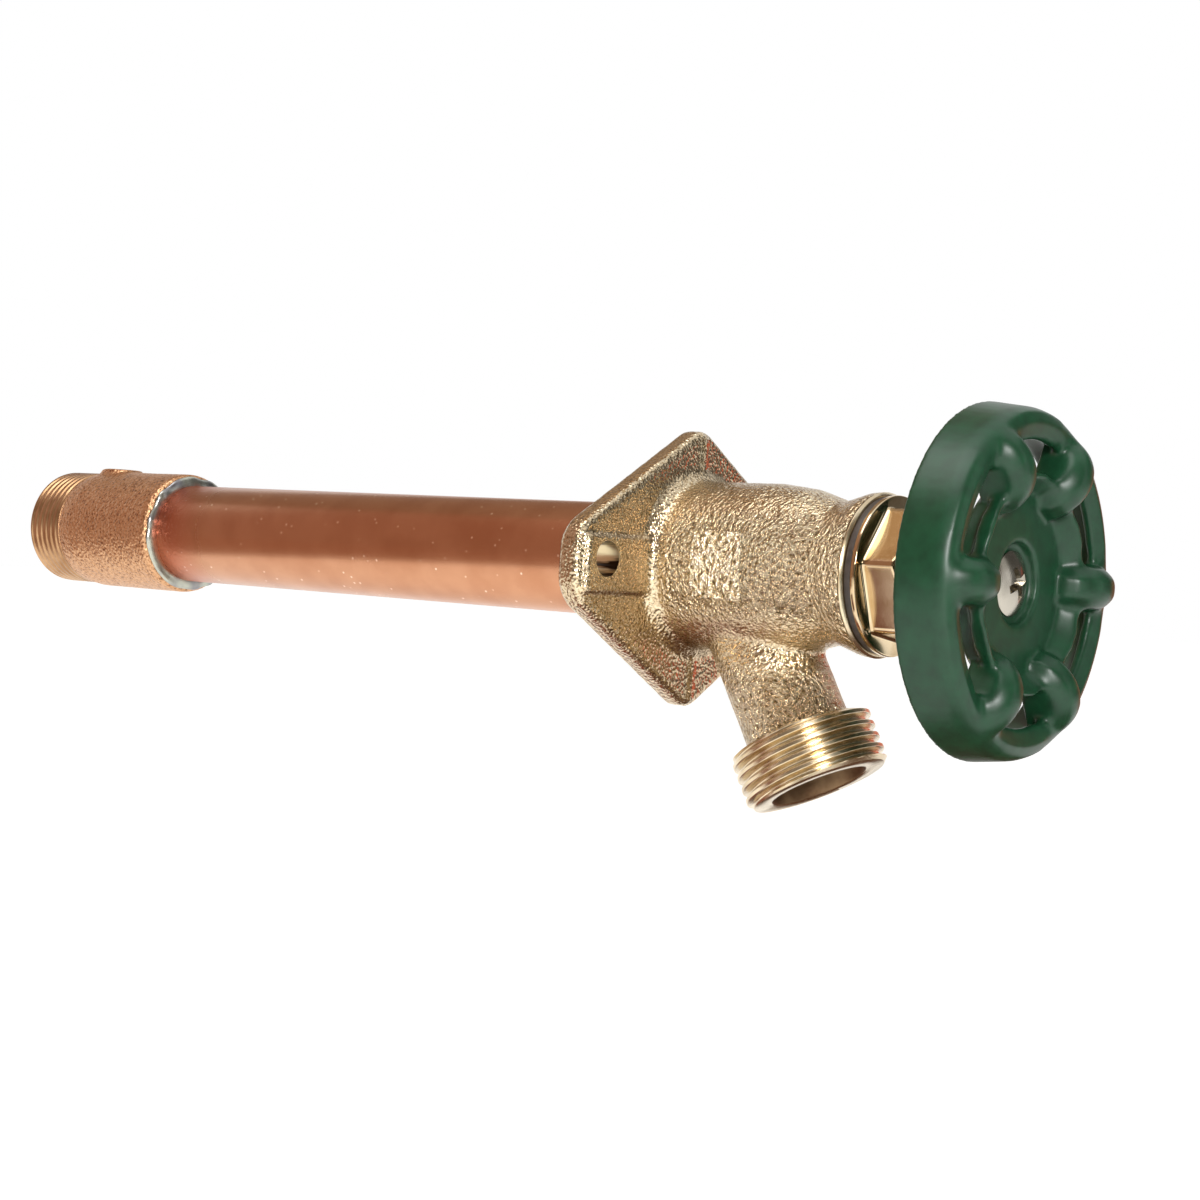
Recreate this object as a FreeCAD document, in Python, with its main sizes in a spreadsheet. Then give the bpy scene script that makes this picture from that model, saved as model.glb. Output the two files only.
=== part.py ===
import FreeCAD, Part

import math
import os
import re

import Sketcher

# A frost-free wall hydrant. The origin is the centre of the flange's back face on the tube's axis.
# Outward, towards the handwheel, is -Y. The tube runs into the wall along +Y, and +Z is up.
# Lengths are in millimetres and angles in degrees.

SIZES = {
    # Copper casing tube, 7/8 in outside
    "tube_outer": 22.225,
    "tube_wall": 0.81,
    "tube_reach": 141.6,
    "tube_into_inlet": 13.0,
    "tube_into_head": 12.0,
    "solder_gap": 0.05,
    "solder_bead": 1.3,
    # Inlet fitting, 3/4 in pipe thread outside and 1/2 in solder cup inside
    "inlet_length": 44.4,
    "inlet_body_radius": 13.9,
    "inlet_mouth_chamfer": 0.8,
    "pipe_thread_length": 11.7,
    "pipe_thread_radius": 13.335,
    "inlet_chamber_radius": 10.2,
    "solder_cup_radius": 8.0,
    "solder_cup_depth": 12.7,
    "seat_setback": 22.0,
    "seat_orifice_radius": 5.5,
    "seat_lip_width": 1.2,
    "seat_lip_height": 1.5,
    "gate_stub_length": 10.0,
    "gate_stub_width": 9.0,
    "gate_stub_corner": 4.0,
    "gate_stub_chamfer": 0.3,
    "gate_stub_rise": 0.6,
    "gate_stub_setback": 17.4,
    # Wall flange of the head
    "flange_thick": 5.0,
    "flange_half_height": 27.0,
    "flange_half_width": 46.8,
    "flange_tip_radius": 5.5,
    "flange_side_radius": 7.0,
    "flange_edge_chamfer": 0.9,
    "flange_back_chamfer": 1.0,
    "flange_drop": 0.9,
    "lug_margin": 7.4,
    "lug_pad_rise": 1.0,
    "lug_pad_width": 10.4,
    "parting_rib_width": 1.2,
    "parting_rib_rise": 0.5,
    "screw_spacing": 57.15,
    "screw_hole_radius": 3.25,
    # Barrel of the head
    "barrel_radius": 15.8,
    "barrel_flare": 2.0,
    "barrel_taper_start": 24.0,
    "barrel_shoulder_out": 31.0,
    "barrel_shoulder_radius": 15.0,
    "waist_out": 37.4,
    "waist_radius": 13.0,
    "collar_foot_out": 38.2,
    "collar_radius": 14.8,
    "collar_width": 1.6,
    "collar_chamfer": 0.45,
    "head_front": 46.0,
    "chamber_radius": 9.8,
    "float_shoulder_out": 31.0,
    "badge_back": 14.5,
    "badge_length": 11.0,
    "badge_height": 12.6,
    "badge_rise": 0.5,
    # Spout with its hose thread, 3/4 in garden hose
    "spout_start": 13.5,
    "spout_tilt": 29.1,
    "spout_length": 44.2,
    "spout_neck_radius": 9.8,
    "hose_thread_radius": 13.45,
    "hose_thread_length": 10.8,
    "hose_thread_chamfer": 1.0,
    "spout_bore_radius": 8.9,
    "spout_bore_depth": 11.4,
    "waterway_radius": 7.6,
    "mouth_chamfer": 0.4,
    # Bonnet
    "gasket_thick": 1.3,
    "gasket_inset": 0.3,
    "bonnet_rim_radius": 14.3,
    "bonnet_rim_thick": 1.1,
    "bonnet_hex_across": 22.2,
    "bonnet_hex_length": 7.1,
    "bonnet_hex_turn": 9.0,
    "bonnet_skirt_radius": 10.5,
    "bonnet_nose_radius": 7.2,
    "bonnet_nose_length": 7.0,
    "thread_gap": 0.05,
    "stuffing_radius": 5.55,
    "stuffing_depth": 6.0,
    "stuffing_floor": 1.0,
    "spring_bore_radius": 6.7,
    "spring_bore_depth": 4.0,
    "vent_circle_radius": 8.3,
    "vent_radius": 0.9,
    "vent_count": 3,
    # Packing
    "packing_washer_thick": 0.8,
    "packing_thick": 3.7,
    "gland_thick": 2.3,
    "packing_nut_across": 19.05,
    "packing_nut_stand_off": 1.6,
    "packing_nut_front": 1.9,
    "running_gap": 0.05,
    # Anti-siphon float
    "stop_ring_thick": 0.9,
    "stop_ring_radius": 6.2,
    "float_thick": 1.4,
    "float_lift": 1.4,
    "float_radius": 9.5,
    "slide_gap": 0.3,
    "touch_gap": 0.05,
    "spring_wire": 0.5,
    "spring_radius": 5.9,
    "spring_turns": 2,
    # Stem and operating rod
    "wheel_turns": 3,
    "stem_lead": 2.1167,
    "stem_radius": 3.175,
    "stem_thread_radius": 4.76,
    "stem_end_gap": 0.4,
    "stem_socket_radius": 5.4,
    "stem_socket_length": 13.0,
    "stem_back_out": 10.0,
    "stem_square": 4.4,
    "rod_radius": 3.97,
    "rod_into_stem": 11.0,
    "pin_radius": 1.0,
    "guide_position": 70.0,
    "guide_thick": 8.0,
    "guide_hub_radius": 5.6,
    "guide_wing_width": 3.0,
    "guide_wings": 3,
    # Seat disc with its rubber washer
    "seat_washer_radius": 7.1,
    "seat_washer_thick": 4.0,
    "disc_radius": 8.3,
    "disc_plate": 3.4,
    "disc_rim": 2.4,
    "disc_hub_radius": 6.3,
    "disc_hub_length": 9.0,
    "swivel_neck_radius": 2.0,
    "swivel_neck_length": 3.5,
    "swivel_head_radius": 3.2,
    "swivel_head_length": 2.5,
    "seat_screw_radius": 1.5,
    "seat_screw_length": 10.0,
    "seat_screw_head_radius": 3.2,
    "seat_screw_head_thick": 1.7,
    "seat_screw_top_radius": 2.6,
    # Handwheel, with its heights measured from its seat on the stem
    "wheel_stand_off": 1.0,
    "rim_overhang": 0.8,
    "rim_depth": 9.8,
    "rim_back_radius": 30.9,
    "rim_front_radius": 30.0,
    "rim_edge_radius": 2.6,
    "rim_wall": 3.0,
    "rim_inner_radius": 24.3,
    "rim_dip": 0.9,
    "rim_lip": 2.6,
    "hub_boss_radius": 7.6,
    "hub_boss_length": 2.6,
    "hub_back_radius": 17.3,
    "hub_floor_radius": 15.6,
    "hub_floor_thick": 3.2,
    "hub_crest_radius": 18.9,
    "hub_crest_land": 0.8,
    "hub_crest_rise": 3.4,
    "hub_side_depth": 3.0,
    "recess_radius": 7.0,
    "recess_depth": 1.8,
    "ridge_count": 6,
    "ridge_width": 7.6,
    "ridge_chamfer": 2.2,
    "ridge_back_rise": 3.8,
    "ridge_middle_radius": 21.6,
    "ridge_middle_rise": 4.8,
    "ridge_arch_radius": 8.0,
    "ridge_end_angle": 18.5,
    "broach_gap": 0.1,
    # Handle screw
    "handle_screw_radius": 1.9,
    "handle_screw_length": 8.0,
    "handle_screw_head_radius": 5.6,
    "handle_screw_edge": 0.6,
    "handle_screw_dome": 2.0,
    "handle_screw_crown_radius": 2.6,
    "cross_width": 1.1,
    "cross_length": 5.2,
    "cross_depth": 1.6,
    # How far a cut runs past the face that it opens
    "overcut": 1.0,
}

# What follows from the sizes above, each in words that the sheet's expressions understand
WORKED_OUT = {
    "tube_radius": "tube_outer / 2",
    "tube_bore_radius": "tube_outer / 2 - tube_wall",
    "socket_bore_radius": "tube_radius + solder_gap",
    "inlet_end": "tube_reach + inlet_length",
    "tube_end": "tube_reach + tube_into_inlet",
    "thread_shoulder": "inlet_end - pipe_thread_length",
    "gate_stub_top": "inlet_body_radius + gate_stub_rise",
    "seat_face": "inlet_end - seat_setback",
    "seat_floor": "seat_face + seat_lip_height",
    "flange_side": "screw_spacing / 2 + lug_margin",
    "flange_side_height": "flange_half_height * (1 - flange_side / flange_half_width)",
    "badge_root": "(chamber_radius + barrel_radius) / 2",
    "collar_back": "head_front - collar_chamfer - collar_width",
    "spout_thread_start": "spout_length - hose_thread_length",
    "bonnet_bore_radius": "bonnet_skirt_radius + thread_gap",
    "stop_ring_front": "float_shoulder_out + stop_ring_thick",
    "float_front": "stop_ring_front + float_thick",
    "bonnet_back": "float_front + float_lift + touch_gap",
    "bonnet_rim_back": "head_front + gasket_thick",
    "bonnet_hex_back": "bonnet_rim_back + bonnet_rim_thick",
    "bonnet_shoulder": "bonnet_hex_back + bonnet_hex_length",
    "bonnet_front": "bonnet_shoulder + bonnet_nose_length",
    "stuffing_back": "bonnet_front - stuffing_depth",
    "thread_stop": "stuffing_back - stuffing_floor",
    "spring_bore_front": "bonnet_back + spring_bore_depth",
    "packing_back": "stuffing_back + packing_washer_thick",
    "gland_back": "packing_back + packing_thick",
    "gland_front": "gland_back + gland_thick",
    "packing_nut_back": "bonnet_shoulder + packing_nut_stand_off",
    "packing_nut_end": "gland_front + packing_nut_front",
    "ring_fit_radius": "stuffing_radius - running_gap",
    "stem_bore_radius": "stem_radius + running_gap",
    "stem_travel": "wheel_turns * stem_lead",
    "stem_thread_front": "thread_stop - stem_travel - stem_end_gap",
    "stem_socket_front": "stem_back_out + stem_socket_length",
    "wheel_seat_out": "packing_nut_end + wheel_stand_off",
    "rim_back_out": "wheel_seat_out - rim_overhang",
    "rim_front_out": "rim_back_out + rim_depth",
    "rim_crest_radius": "rim_front_radius - rim_edge_radius",
    "rim_round_out": "rim_front_out - rim_edge_radius",
    "rim_lip_out": "rim_front_out - rim_lip",
    "hub_back_out": "wheel_seat_out + hub_boss_length",
    "hub_floor_out": "hub_back_out + hub_floor_thick",
    "hub_crest_out": "hub_floor_out + hub_crest_rise",
    "ridge_back_out": "wheel_seat_out + ridge_back_rise",
    "ridge_middle_out": "wheel_seat_out + ridge_middle_rise",
    "ridge_end_reach": "ridge_arch_radius * cos(ridge_end_angle)",
    "ridge_end_out": "ridge_middle_out + ridge_arch_radius * sin(ridge_end_angle)",
    "recess_floor": "hub_floor_out - recess_depth",
    "screw_edge_out": "recess_floor + handle_screw_edge",
    "screw_top_out": "screw_edge_out + handle_screw_dome",
    "stem_front": "recess_floor - slide_gap",
    "rod_front": "stem_back_out + rod_into_stem - touch_gap",
    "pin_out": "stem_back_out + rod_into_stem / 2",
    "disc_front": "seat_face - touch_gap - seat_washer_thick - disc_plate",
    "disc_back": "disc_front + disc_plate",
    "disc_hub_front": "disc_front - disc_hub_length",
    "swivel_lip": "disc_hub_front + swivel_neck_length - running_gap",
    "swivel_floor": "swivel_lip + swivel_head_length + 2 * running_gap",
    "rod_shoulder": "disc_hub_front - slide_gap",
    "seat_screw_tip": "seat_face - touch_gap - seat_screw_length",
}

# Tells whether an edge lies where it should
hair = 0.01

doc = FreeCAD.newDocument("wall_hydrant")
sheet = doc.addObject("Spreadsheet::Sheet", "Size")
for row, (name, size) in enumerate(SIZES.items(), start=1):
    sheet.set(f"A{row}", name)
    sheet.set(f"B{row}", str(size))
    sheet.setAlias(f"B{row}", name)
doc.recompute()


def full(text):
    """Spells out the worked-out names in an expression and adds the sheet's name to each alias."""
    def spell(word):
        return f"({WORKED_OUT[word[0]]})" if word[0] in WORKED_OUT else word[0]

    spelled = re.sub(r"[a-z_]+", spell, text)
    if spelled != text:
        return full(spelled)
    return re.sub(r"[a-z_]+", lambda word: f"Size.{word[0]}" if word[0] in SIZES else word[0], text)


def value(text):
    """The number that an expression gives now."""
    return float(sheet.evalExpression(full(text)))


def new_body(name):
    body = doc.addObject("PartDesign::Body", name)
    body.Label = name
    return body


def sketch_on(body, name, role, lift="0"):
    """A sketch on one of the body's own origin planes, lifted along that plane's normal."""
    sketch = body.newObject("Sketcher::SketchObject", name)
    plane = next(item for item in body.Origin.OriginFeatures if item.Role == role)
    sketch.AttachmentSupport = (plane, "")
    sketch.MapMode = "FlatFace"
    sketch.setExpression(".AttachmentOffset.Base.z", full(lift))
    return sketch


def pin_point(sketch, geometry, point, across, up):
    """Holds one point of a sketch at the place that two expressions give."""
    for kind, text in (("DistanceX", across), ("DistanceY", up)):
        index = sketch.addConstraint(Sketcher.Constraint(kind, -1, 1, geometry, point, value(text)))
        sketch.setExpression(f"Constraints[{index}]", full(text))


def bend_between(start, end, radius, turn):
    """The short arc from start to end that turns left (1) or right (-1), drawn counter-clockwise."""
    chord = end - start
    rise = math.sqrt(radius ** 2 - (chord.Length / 2) ** 2)
    normal = FreeCAD.Vector(-chord.y, chord.x, 0).normalize()
    centre = (start + end) / 2 + normal * rise * turn
    first, last = (start, end) if turn > 0 else (end, start)
    angles = [math.atan2(spot.y - centre.y, spot.x - centre.x) for spot in (first, last)]
    circle = Part.Circle(centre, FreeCAD.Vector(0, 0, 1), radius)
    return Part.ArcOfCircle(circle, angles[0], angles[1] + (2 * math.pi if angles[1] < angles[0] else 0))


def draw_outline(sketch, corners):
    """Draws a closed outline. A corner is (across, up), or (across, up, radius, turn) where an arc
    of that radius leads to it, turning left (1) or right (-1)."""
    spots = [FreeCAD.Vector(value(corner[0]), value(corner[1]), 0) for corner in corners]
    ends = []
    for index, corner in enumerate(corners):
        start, end = spots[index - 1], spots[index]
        if len(corner) == 2:
            edge = sketch.addGeometry(Part.LineSegment(start, end))
            ends.append((edge, 1, 2))
            continue
        edge = sketch.addGeometry(bend_between(start, end, value(corner[2]), corner[3]))
        ends.append((edge, 1, 2) if corner[3] > 0 else (edge, 2, 1))
    for index, (edge, first, last) in enumerate(ends):
        follower, follower_start, _ = ends[(index + 1) % len(ends)]
        sketch.addConstraint(Sketcher.Constraint("Coincident", edge, last, follower, follower_start))
    for (edge, first, last), corner in zip(ends, corners):
        pin_point(sketch, edge, last, corner[0], corner[1])
        if len(corner) > 2:
            index = sketch.addConstraint(Sketcher.Constraint("Radius", edge, value(corner[2])))
            sketch.setExpression(f"Constraints[{index}]", full(corner[2]))
    return sketch


def rounded_box(sketch, side, low, high, radius):
    """Draws a box from -side to side across, with round corners."""
    return draw_outline(sketch, [
        (f"{side} - {radius}", low),
        (side, f"{low} + {radius}", radius, 1),
        (side, f"{high} - {radius}"),
        (f"{side} - {radius}", high, radius, 1),
        (f"-({side} - {radius})", high),
        (f"-({side})", f"{high} - {radius}", radius, 1),
        (f"-({side})", f"{low} + {radius}"),
        (f"-({side} - {radius})", low, radius, 1),
    ])


def box(sketch, across, low, high):
    """Draws a box from -across to across."""
    return draw_outline(sketch, [
        (f"-({across})", high),
        (f"-({across})", low),
        (across, low),
        (across, high),
    ])


def draw_circle(sketch, across, up, radius):
    centre = FreeCAD.Vector(value(across), value(up), 0)
    ring = sketch.addGeometry(Part.Circle(centre, FreeCAD.Vector(0, 0, 1), value(radius)))
    pin_point(sketch, ring, 3, across, up)
    index = sketch.addConstraint(Sketcher.Constraint("Radius", ring, value(radius)))
    sketch.setExpression(f"Constraints[{index}]", full(radius))


def outwards(corners):
    """Turns corners given as (distance out from the wall, radius) into the sketch's own directions."""
    flipped = []
    for corner in corners:
        bend = (corner[2], -corner[3]) if len(corner) > 2 else ()
        flipped.append((f"-({corner[0]})", corner[1]) + bend)
    return flipped


def revolve(body, kind, name, sketch, axis="H_Axis"):
    feature = body.newObject(f"PartDesign::{kind}", name)
    feature.Profile = sketch
    feature.ReferenceAxis = (sketch, [axis])
    feature.Angle = 360
    sketch.Visibility = False
    return feature


def turn_on_axis(body, name, corners, kind="Revolution"):
    """Adds or cuts a turned form about the hydrant's axis, from (distance out, radius) corners."""
    sketch = draw_outline(sketch_on(body, f"{name}_sketch", "YZ_Plane"), outwards(corners))
    return revolve(body, kind, name, sketch)


def extrude(body, kind, name, sketch, length, side="One side"):
    feature = body.newObject(f"PartDesign::{kind}", name)
    feature.Profile = sketch
    feature.SideType = side
    feature.setExpression("Length", full(length))
    sketch.Visibility = False
    return feature


def soften(body, kind, name, test, size):
    """Fillets or chamfers the edges of the body's last feature whose middle and form pass a test."""
    doc.recompute()
    base = body.Tip
    chosen = []
    for index, edge in enumerate(base.Shape.Edges, start=1):
        middle = edge.valueAt((edge.FirstParameter + edge.LastParameter) / 2)
        if test(edge, middle):
            chosen.append(f"Edge{index}")
    feature = body.newObject(f"PartDesign::{kind}", name)
    feature.Base = (base, chosen)
    feature.setExpression("Radius" if kind == "Fillet" else "Size", full(size))
    return feature


def pattern_about_axis(body, name, original, count):
    feature = body.newObject("PartDesign::PolarPattern", name)
    feature.Originals = [original]
    feature.Axis = (next(item for item in body.Origin.OriginFeatures if item.Role == "Y_Axis"), [""])
    feature.Angle = 360
    feature.setExpression("Occurrences", full(count))
    body.Tip = feature
    return feature


def hexagon(sketch, across, turn):
    """A hexagon about the axis, with its first corner turned up from the -X side."""
    corners = []
    for index in range(6):
        angle = f"(180 - {turn} + {60 * index})"
        corners.append((f"{across} / sqrt(3) * cos{angle}", f"{across} / sqrt(3) * sin{angle}"))
    return draw_outline(sketch, corners)


def chamfer_hex(body, name, across, face, facing):
    """Takes the corners off one end of a hexagon at 30 degrees. facing is 1 for the outer end."""
    corner = f"({across} / sqrt(3))"
    depth = f"(({corner} - {across} / 2 + overcut) / sqrt(3))"
    turn_on_axis(body, name, [
        (f"{face} + {facing} * overcut", f"{across} / 2"),
        (face, f"{across} / 2"),
        (f"{face} - {facing} * {depth}", f"{corner} + overcut"),
        (f"{face} + {facing} * overcut", f"{corner} + overcut"),
    ], "Groove")


def casing_tube():
    body = new_body("casing_tube")
    turn_on_axis(body, "tube", [
        ("-tube_end", "tube_bore_radius"),
        ("-tube_end", "tube_radius"),
        ("tube_into_head", "tube_radius"),
        ("tube_into_head", "tube_bore_radius"),
    ])
    return body


def inlet_fitting():
    """Cast inlet with the pipe thread's cylinder outside and the valve seat's raised lip inside."""
    body = new_body("inlet_fitting")
    turn_on_axis(body, "fitting", [
        ("-tube_reach", "socket_bore_radius"),
        ("-tube_reach", "inlet_body_radius - inlet_mouth_chamfer"),
        ("-(tube_reach + inlet_mouth_chamfer)", "inlet_body_radius"),
        ("-thread_shoulder", "inlet_body_radius"),
        ("-thread_shoulder", "pipe_thread_radius"),
        ("-inlet_end", "pipe_thread_radius"),
        ("-inlet_end", "solder_cup_radius"),
        ("-(inlet_end - solder_cup_depth)", "solder_cup_radius"),
        ("-(inlet_end - solder_cup_depth)", "seat_orifice_radius"),
        ("-seat_face", "seat_orifice_radius"),
        ("-seat_face", "seat_orifice_radius + seat_lip_width"),
        ("-seat_floor", "seat_orifice_radius + seat_lip_width"),
        ("-seat_floor", "inlet_chamber_radius"),
        ("-tube_end", "inlet_chamber_radius"),
        ("-tube_end", "socket_bore_radius"),
    ])
    middle = "(inlet_end - gate_stub_setback)"
    stub = rounded_box(
        sketch_on(body, "gate_stub_sketch", "XY_Plane", "socket_bore_radius + solder_gap"),
        "gate_stub_width / 2",
        f"{middle} - gate_stub_length / 2",
        f"{middle} + gate_stub_length / 2",
        "gate_stub_corner",
    )
    extrude(body, "Pad", "gate_stub", stub, "gate_stub_top - socket_bore_radius - solder_gap")
    top = value("gate_stub_top")

    def on_top(edge, middle):
        return abs(middle.z - top) < hair

    soften(body, "Chamfer", "gate_stub_edge", on_top, "gate_stub_chamfer")
    return body


def solder_ring(name, face, direction):
    """A ring of solder round the tube. direction is 1 where it runs out from the face, -1 in."""
    body = new_body(name)
    inner = "tube_radius + solder_gap"
    turn_on_axis(body, "bead", [
        (face, inner),
        (face, f"{inner} + solder_bead"),
        (f"{face} + {direction} * solder_bead", inner),
    ])
    return body


def head_casting():
    """Flange, barrel and hose spout in one casting, then bored."""
    body = new_body("head_casting")
    turn_on_axis(body, "barrel", [
        ("0", "0"),
        ("0", "barrel_radius + barrel_flare"),
        ("flange_thick", "barrel_radius + barrel_flare"),
        ("flange_thick + barrel_flare", "barrel_radius"),
        ("barrel_taper_start", "barrel_radius"),
        ("barrel_shoulder_out", "barrel_shoulder_radius"),
        ("waist_out", "waist_radius"),
        ("collar_foot_out", "waist_radius"),
        ("collar_back", "collar_radius"),
        ("head_front - collar_chamfer", "collar_radius"),
        ("head_front", "collar_radius - collar_chamfer"),
        ("head_front", "0"),
    ])
    spout_neck(body)
    wall_flange(body)
    raised_badge(body)
    bore_head(body)
    return body


def spout_sketch(body, name, corners):
    """A sketch whose own level axis is the spout's centre line. Corners are (distance along, radius)."""
    sketch = sketch_on(body, name, "YZ_Plane")
    sketch.setExpression(".AttachmentOffset.Base.x", full("-spout_start"))
    sketch.setExpression(".AttachmentOffset.Rotation.Angle", full("-(90 + spout_tilt)") + " * 1 deg")
    return draw_outline(sketch, corners)


def spout_neck(body):
    neck = spout_sketch(body, "spout_sketch", [
        ("0", "0"),
        ("0", "spout_neck_radius"),
        ("spout_thread_start", "spout_neck_radius"),
        ("spout_thread_start + hose_thread_chamfer", "hose_thread_radius"),
        ("spout_length - hose_thread_chamfer", "hose_thread_radius"),
        ("spout_length", "hose_thread_radius - hose_thread_chamfer"),
        ("spout_length", "0"),
    ])
    revolve(body, "Revolution", "spout", neck)


def straight(edge):
    return isinstance(edge.Curve, Part.Line)


def wall_flange(body):
    side = "flange_side_height"
    plate = draw_outline(sketch_on(body, "flange_sketch", "XZ_Plane"), [
        ("0", "flange_half_height - flange_drop"),
        ("-flange_side", f"{side} - flange_drop"),
        ("-flange_side", f"-{side} - flange_drop"),
        ("0", "-flange_half_height - flange_drop"),
        ("flange_side", f"-{side} - flange_drop"),
        ("flange_side", f"{side} - flange_drop"),
    ])
    extrude(body, "Pad", "flange", plate, "flange_thick")
    tip = value("flange_half_height") - hair
    reach = value("flange_side") - hair
    thick = value("flange_thick")
    clear = value("barrel_radius + 2 * barrel_flare")

    def on_upright(edge, middle):
        return straight(edge) and abs(middle.y + thick / 2) < hair

    def at_tip(edge, middle):
        return on_upright(edge, middle) and abs(middle.z + value("flange_drop")) > tip

    def at_side(edge, middle):
        return on_upright(edge, middle) and abs(middle.x) > reach

    def on_front(edge, middle):
        return abs(middle.y + thick) < hair and math.hypot(middle.x, middle.z) > clear

    def on_back(edge, middle):
        return abs(middle.y) < hair and math.hypot(middle.x, middle.z) > clear

    soften(body, "Fillet", "flange_tips", at_tip, "flange_tip_radius")
    soften(body, "Fillet", "flange_sides", at_side, "flange_side_radius")
    soften(body, "Chamfer", "flange_edge", on_front, "flange_edge_chamfer")
    soften(body, "Chamfer", "flange_back_edge", on_back, "flange_back_chamfer")
    lug_sketch = sketch_on(body, "lug_pad_sketch", "XZ_Plane")
    lug = box(
        lug_sketch,
        "flange_side - 2 * flange_edge_chamfer",
        "-lug_pad_width / 2 - flange_drop",
        "lug_pad_width / 2 - flange_drop",
    )
    extrude(body, "Pad", "lug_pad", lug, "flange_thick + lug_pad_rise")
    rib_reach = "(flange_half_height - flange_edge_chamfer - parting_rib_width)"
    rib_sketch = sketch_on(body, "parting_rib_sketch", "XZ_Plane")
    rib = box(
        rib_sketch,
        "parting_rib_width / 2",
        f"-{rib_reach} - flange_drop",
        f"{rib_reach} - flange_drop",
    )
    extrude(body, "Pad", "parting_rib", rib, "flange_thick + parting_rib_rise")


def raised_badge(body):
    """The bare raised square that follows the barrel's side."""
    front = "badge_back + badge_length"
    badge = draw_outline(sketch_on(body, "badge_sketch", "XY_Plane"), outwards_from_side([
        ("badge_back", "badge_root"),
        ("badge_back", "barrel_radius + badge_rise"),
        (front, "barrel_radius + badge_rise"),
        (front, "badge_root"),
    ]))
    feature = revolve(body, "Revolution", "badge", badge, "V_Axis")
    feature.Midplane = True
    feature.setExpression("Angle", full("2 * asin(badge_height / 2 / barrel_radius)"))


def outwards_from_side(corners):
    """Turns (distance out, radius) corners into a level sketch on the -X side."""
    return [(f"-({corner[1]})", f"-({corner[0]})") for corner in corners]


def bore_head(body):
    well = "socket_bore_radius + solder_bead + solder_gap"
    turn_on_axis(body, "bore", [
        ("-overcut", "0"),
        ("-overcut", well),
        ("solder_bead + solder_gap", well),
        ("solder_bead + solder_gap", "socket_bore_radius"),
        ("tube_into_head + touch_gap", "socket_bore_radius"),
        ("tube_into_head + touch_gap", "chamber_radius"),
        ("float_shoulder_out", "chamber_radius"),
        ("float_shoulder_out", "bonnet_bore_radius"),
        ("head_front + overcut", "bonnet_bore_radius"),
        ("head_front + overcut", "0"),
    ], "Groove")
    mouth = spout_sketch(body, "spout_bore_sketch", [
        ("0", "0"),
        ("0", "waterway_radius"),
        ("spout_length - spout_bore_depth", "waterway_radius"),
        ("spout_length - spout_bore_depth", "spout_bore_radius"),
        ("spout_length - mouth_chamfer", "spout_bore_radius"),
        ("spout_length + overcut", "spout_bore_radius + mouth_chamfer + overcut"),
        ("spout_length + overcut", "0"),
    ])
    revolve(body, "Groove", "spout_bore", mouth)
    holes = sketch_on(body, "screw_hole_sketch", "XZ_Plane", "flange_thick + lug_pad_rise + overcut")
    draw_circle(holes, "-screw_spacing / 2", "0", "screw_hole_radius")
    draw_circle(holes, "screw_spacing / 2", "0", "screw_hole_radius")
    extrude(body, "Pocket", "screw_holes", holes, "flange_thick + lug_pad_rise + 2 * overcut")


def bonnet():
    """Screwed-in bonnet: skirt, rim, hexagon and the nose that holds the packing."""
    body = new_body("bonnet")
    turn_on_axis(body, "blank", [
        ("bonnet_back", "0"),
        ("bonnet_back", "bonnet_skirt_radius"),
        ("bonnet_rim_back", "bonnet_skirt_radius"),
        ("bonnet_rim_back", "bonnet_rim_radius"),
        ("bonnet_hex_back", "bonnet_rim_radius"),
        ("bonnet_hex_back", "bonnet_nose_radius"),
        ("bonnet_front", "bonnet_nose_radius"),
        ("bonnet_front", "0"),
    ])
    flats = sketch_on(body, "hex_sketch", "XZ_Plane", "bonnet_rim_back")
    hexagon(flats, "bonnet_hex_across", "bonnet_hex_turn")
    extrude(body, "Pad", "hex", flats, "bonnet_rim_thick + bonnet_hex_length")
    chamfer_hex(body, "hex_chamfer", "bonnet_hex_across", "bonnet_shoulder", 1)
    turn_on_axis(body, "bore", [
        ("bonnet_back - overcut", "0"),
        ("bonnet_back - overcut", "spring_bore_radius"),
        ("spring_bore_front", "spring_bore_radius"),
        ("spring_bore_front", "stem_thread_radius + thread_gap"),
        ("thread_stop", "stem_thread_radius + thread_gap"),
        ("thread_stop", "stem_bore_radius"),
        ("stuffing_back", "stem_bore_radius"),
        ("stuffing_back", "stuffing_radius"),
        ("bonnet_front + overcut", "stuffing_radius"),
        ("bonnet_front + overcut", "0"),
    ], "Groove")
    vent_sketch = sketch_on(body, "vent_sketch", "XZ_Plane", "bonnet_shoulder + overcut")
    draw_circle(vent_sketch, "vent_circle_radius", "0", "vent_radius")
    vent = extrude(body, "Pocket", "vent", vent_sketch, "bonnet_shoulder - bonnet_back + 2 * overcut")
    doc.recompute()
    pattern_about_axis(body, "vents", vent, "vent_count")
    return body


def flat_ring(name, back, front, inner, outer):
    body = new_body(name)
    turn_on_axis(body, "ring", [(back, inner), (back, outer), (front, outer), (front, inner)])
    return body


def packing_nut():
    body = new_body("packing_nut")
    blank = hexagon(sketch_on(body, "hex_sketch", "XZ_Plane", "packing_nut_back"), "packing_nut_across", "0")
    extrude(body, "Pad", "hex", blank, "packing_nut_end - packing_nut_back")
    chamfer_hex(body, "front_chamfer", "packing_nut_across", "packing_nut_end", 1)
    turn_on_axis(body, "bore", [
        ("packing_nut_back - overcut", "0"),
        ("packing_nut_back - overcut", "bonnet_nose_radius + thread_gap"),
        ("gland_front", "bonnet_nose_radius + thread_gap"),
        ("gland_front", "stem_bore_radius"),
        ("packing_nut_end + overcut", "stem_bore_radius"),
        ("packing_nut_end + overcut", "0"),
    ], "Groove")
    return body


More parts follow.
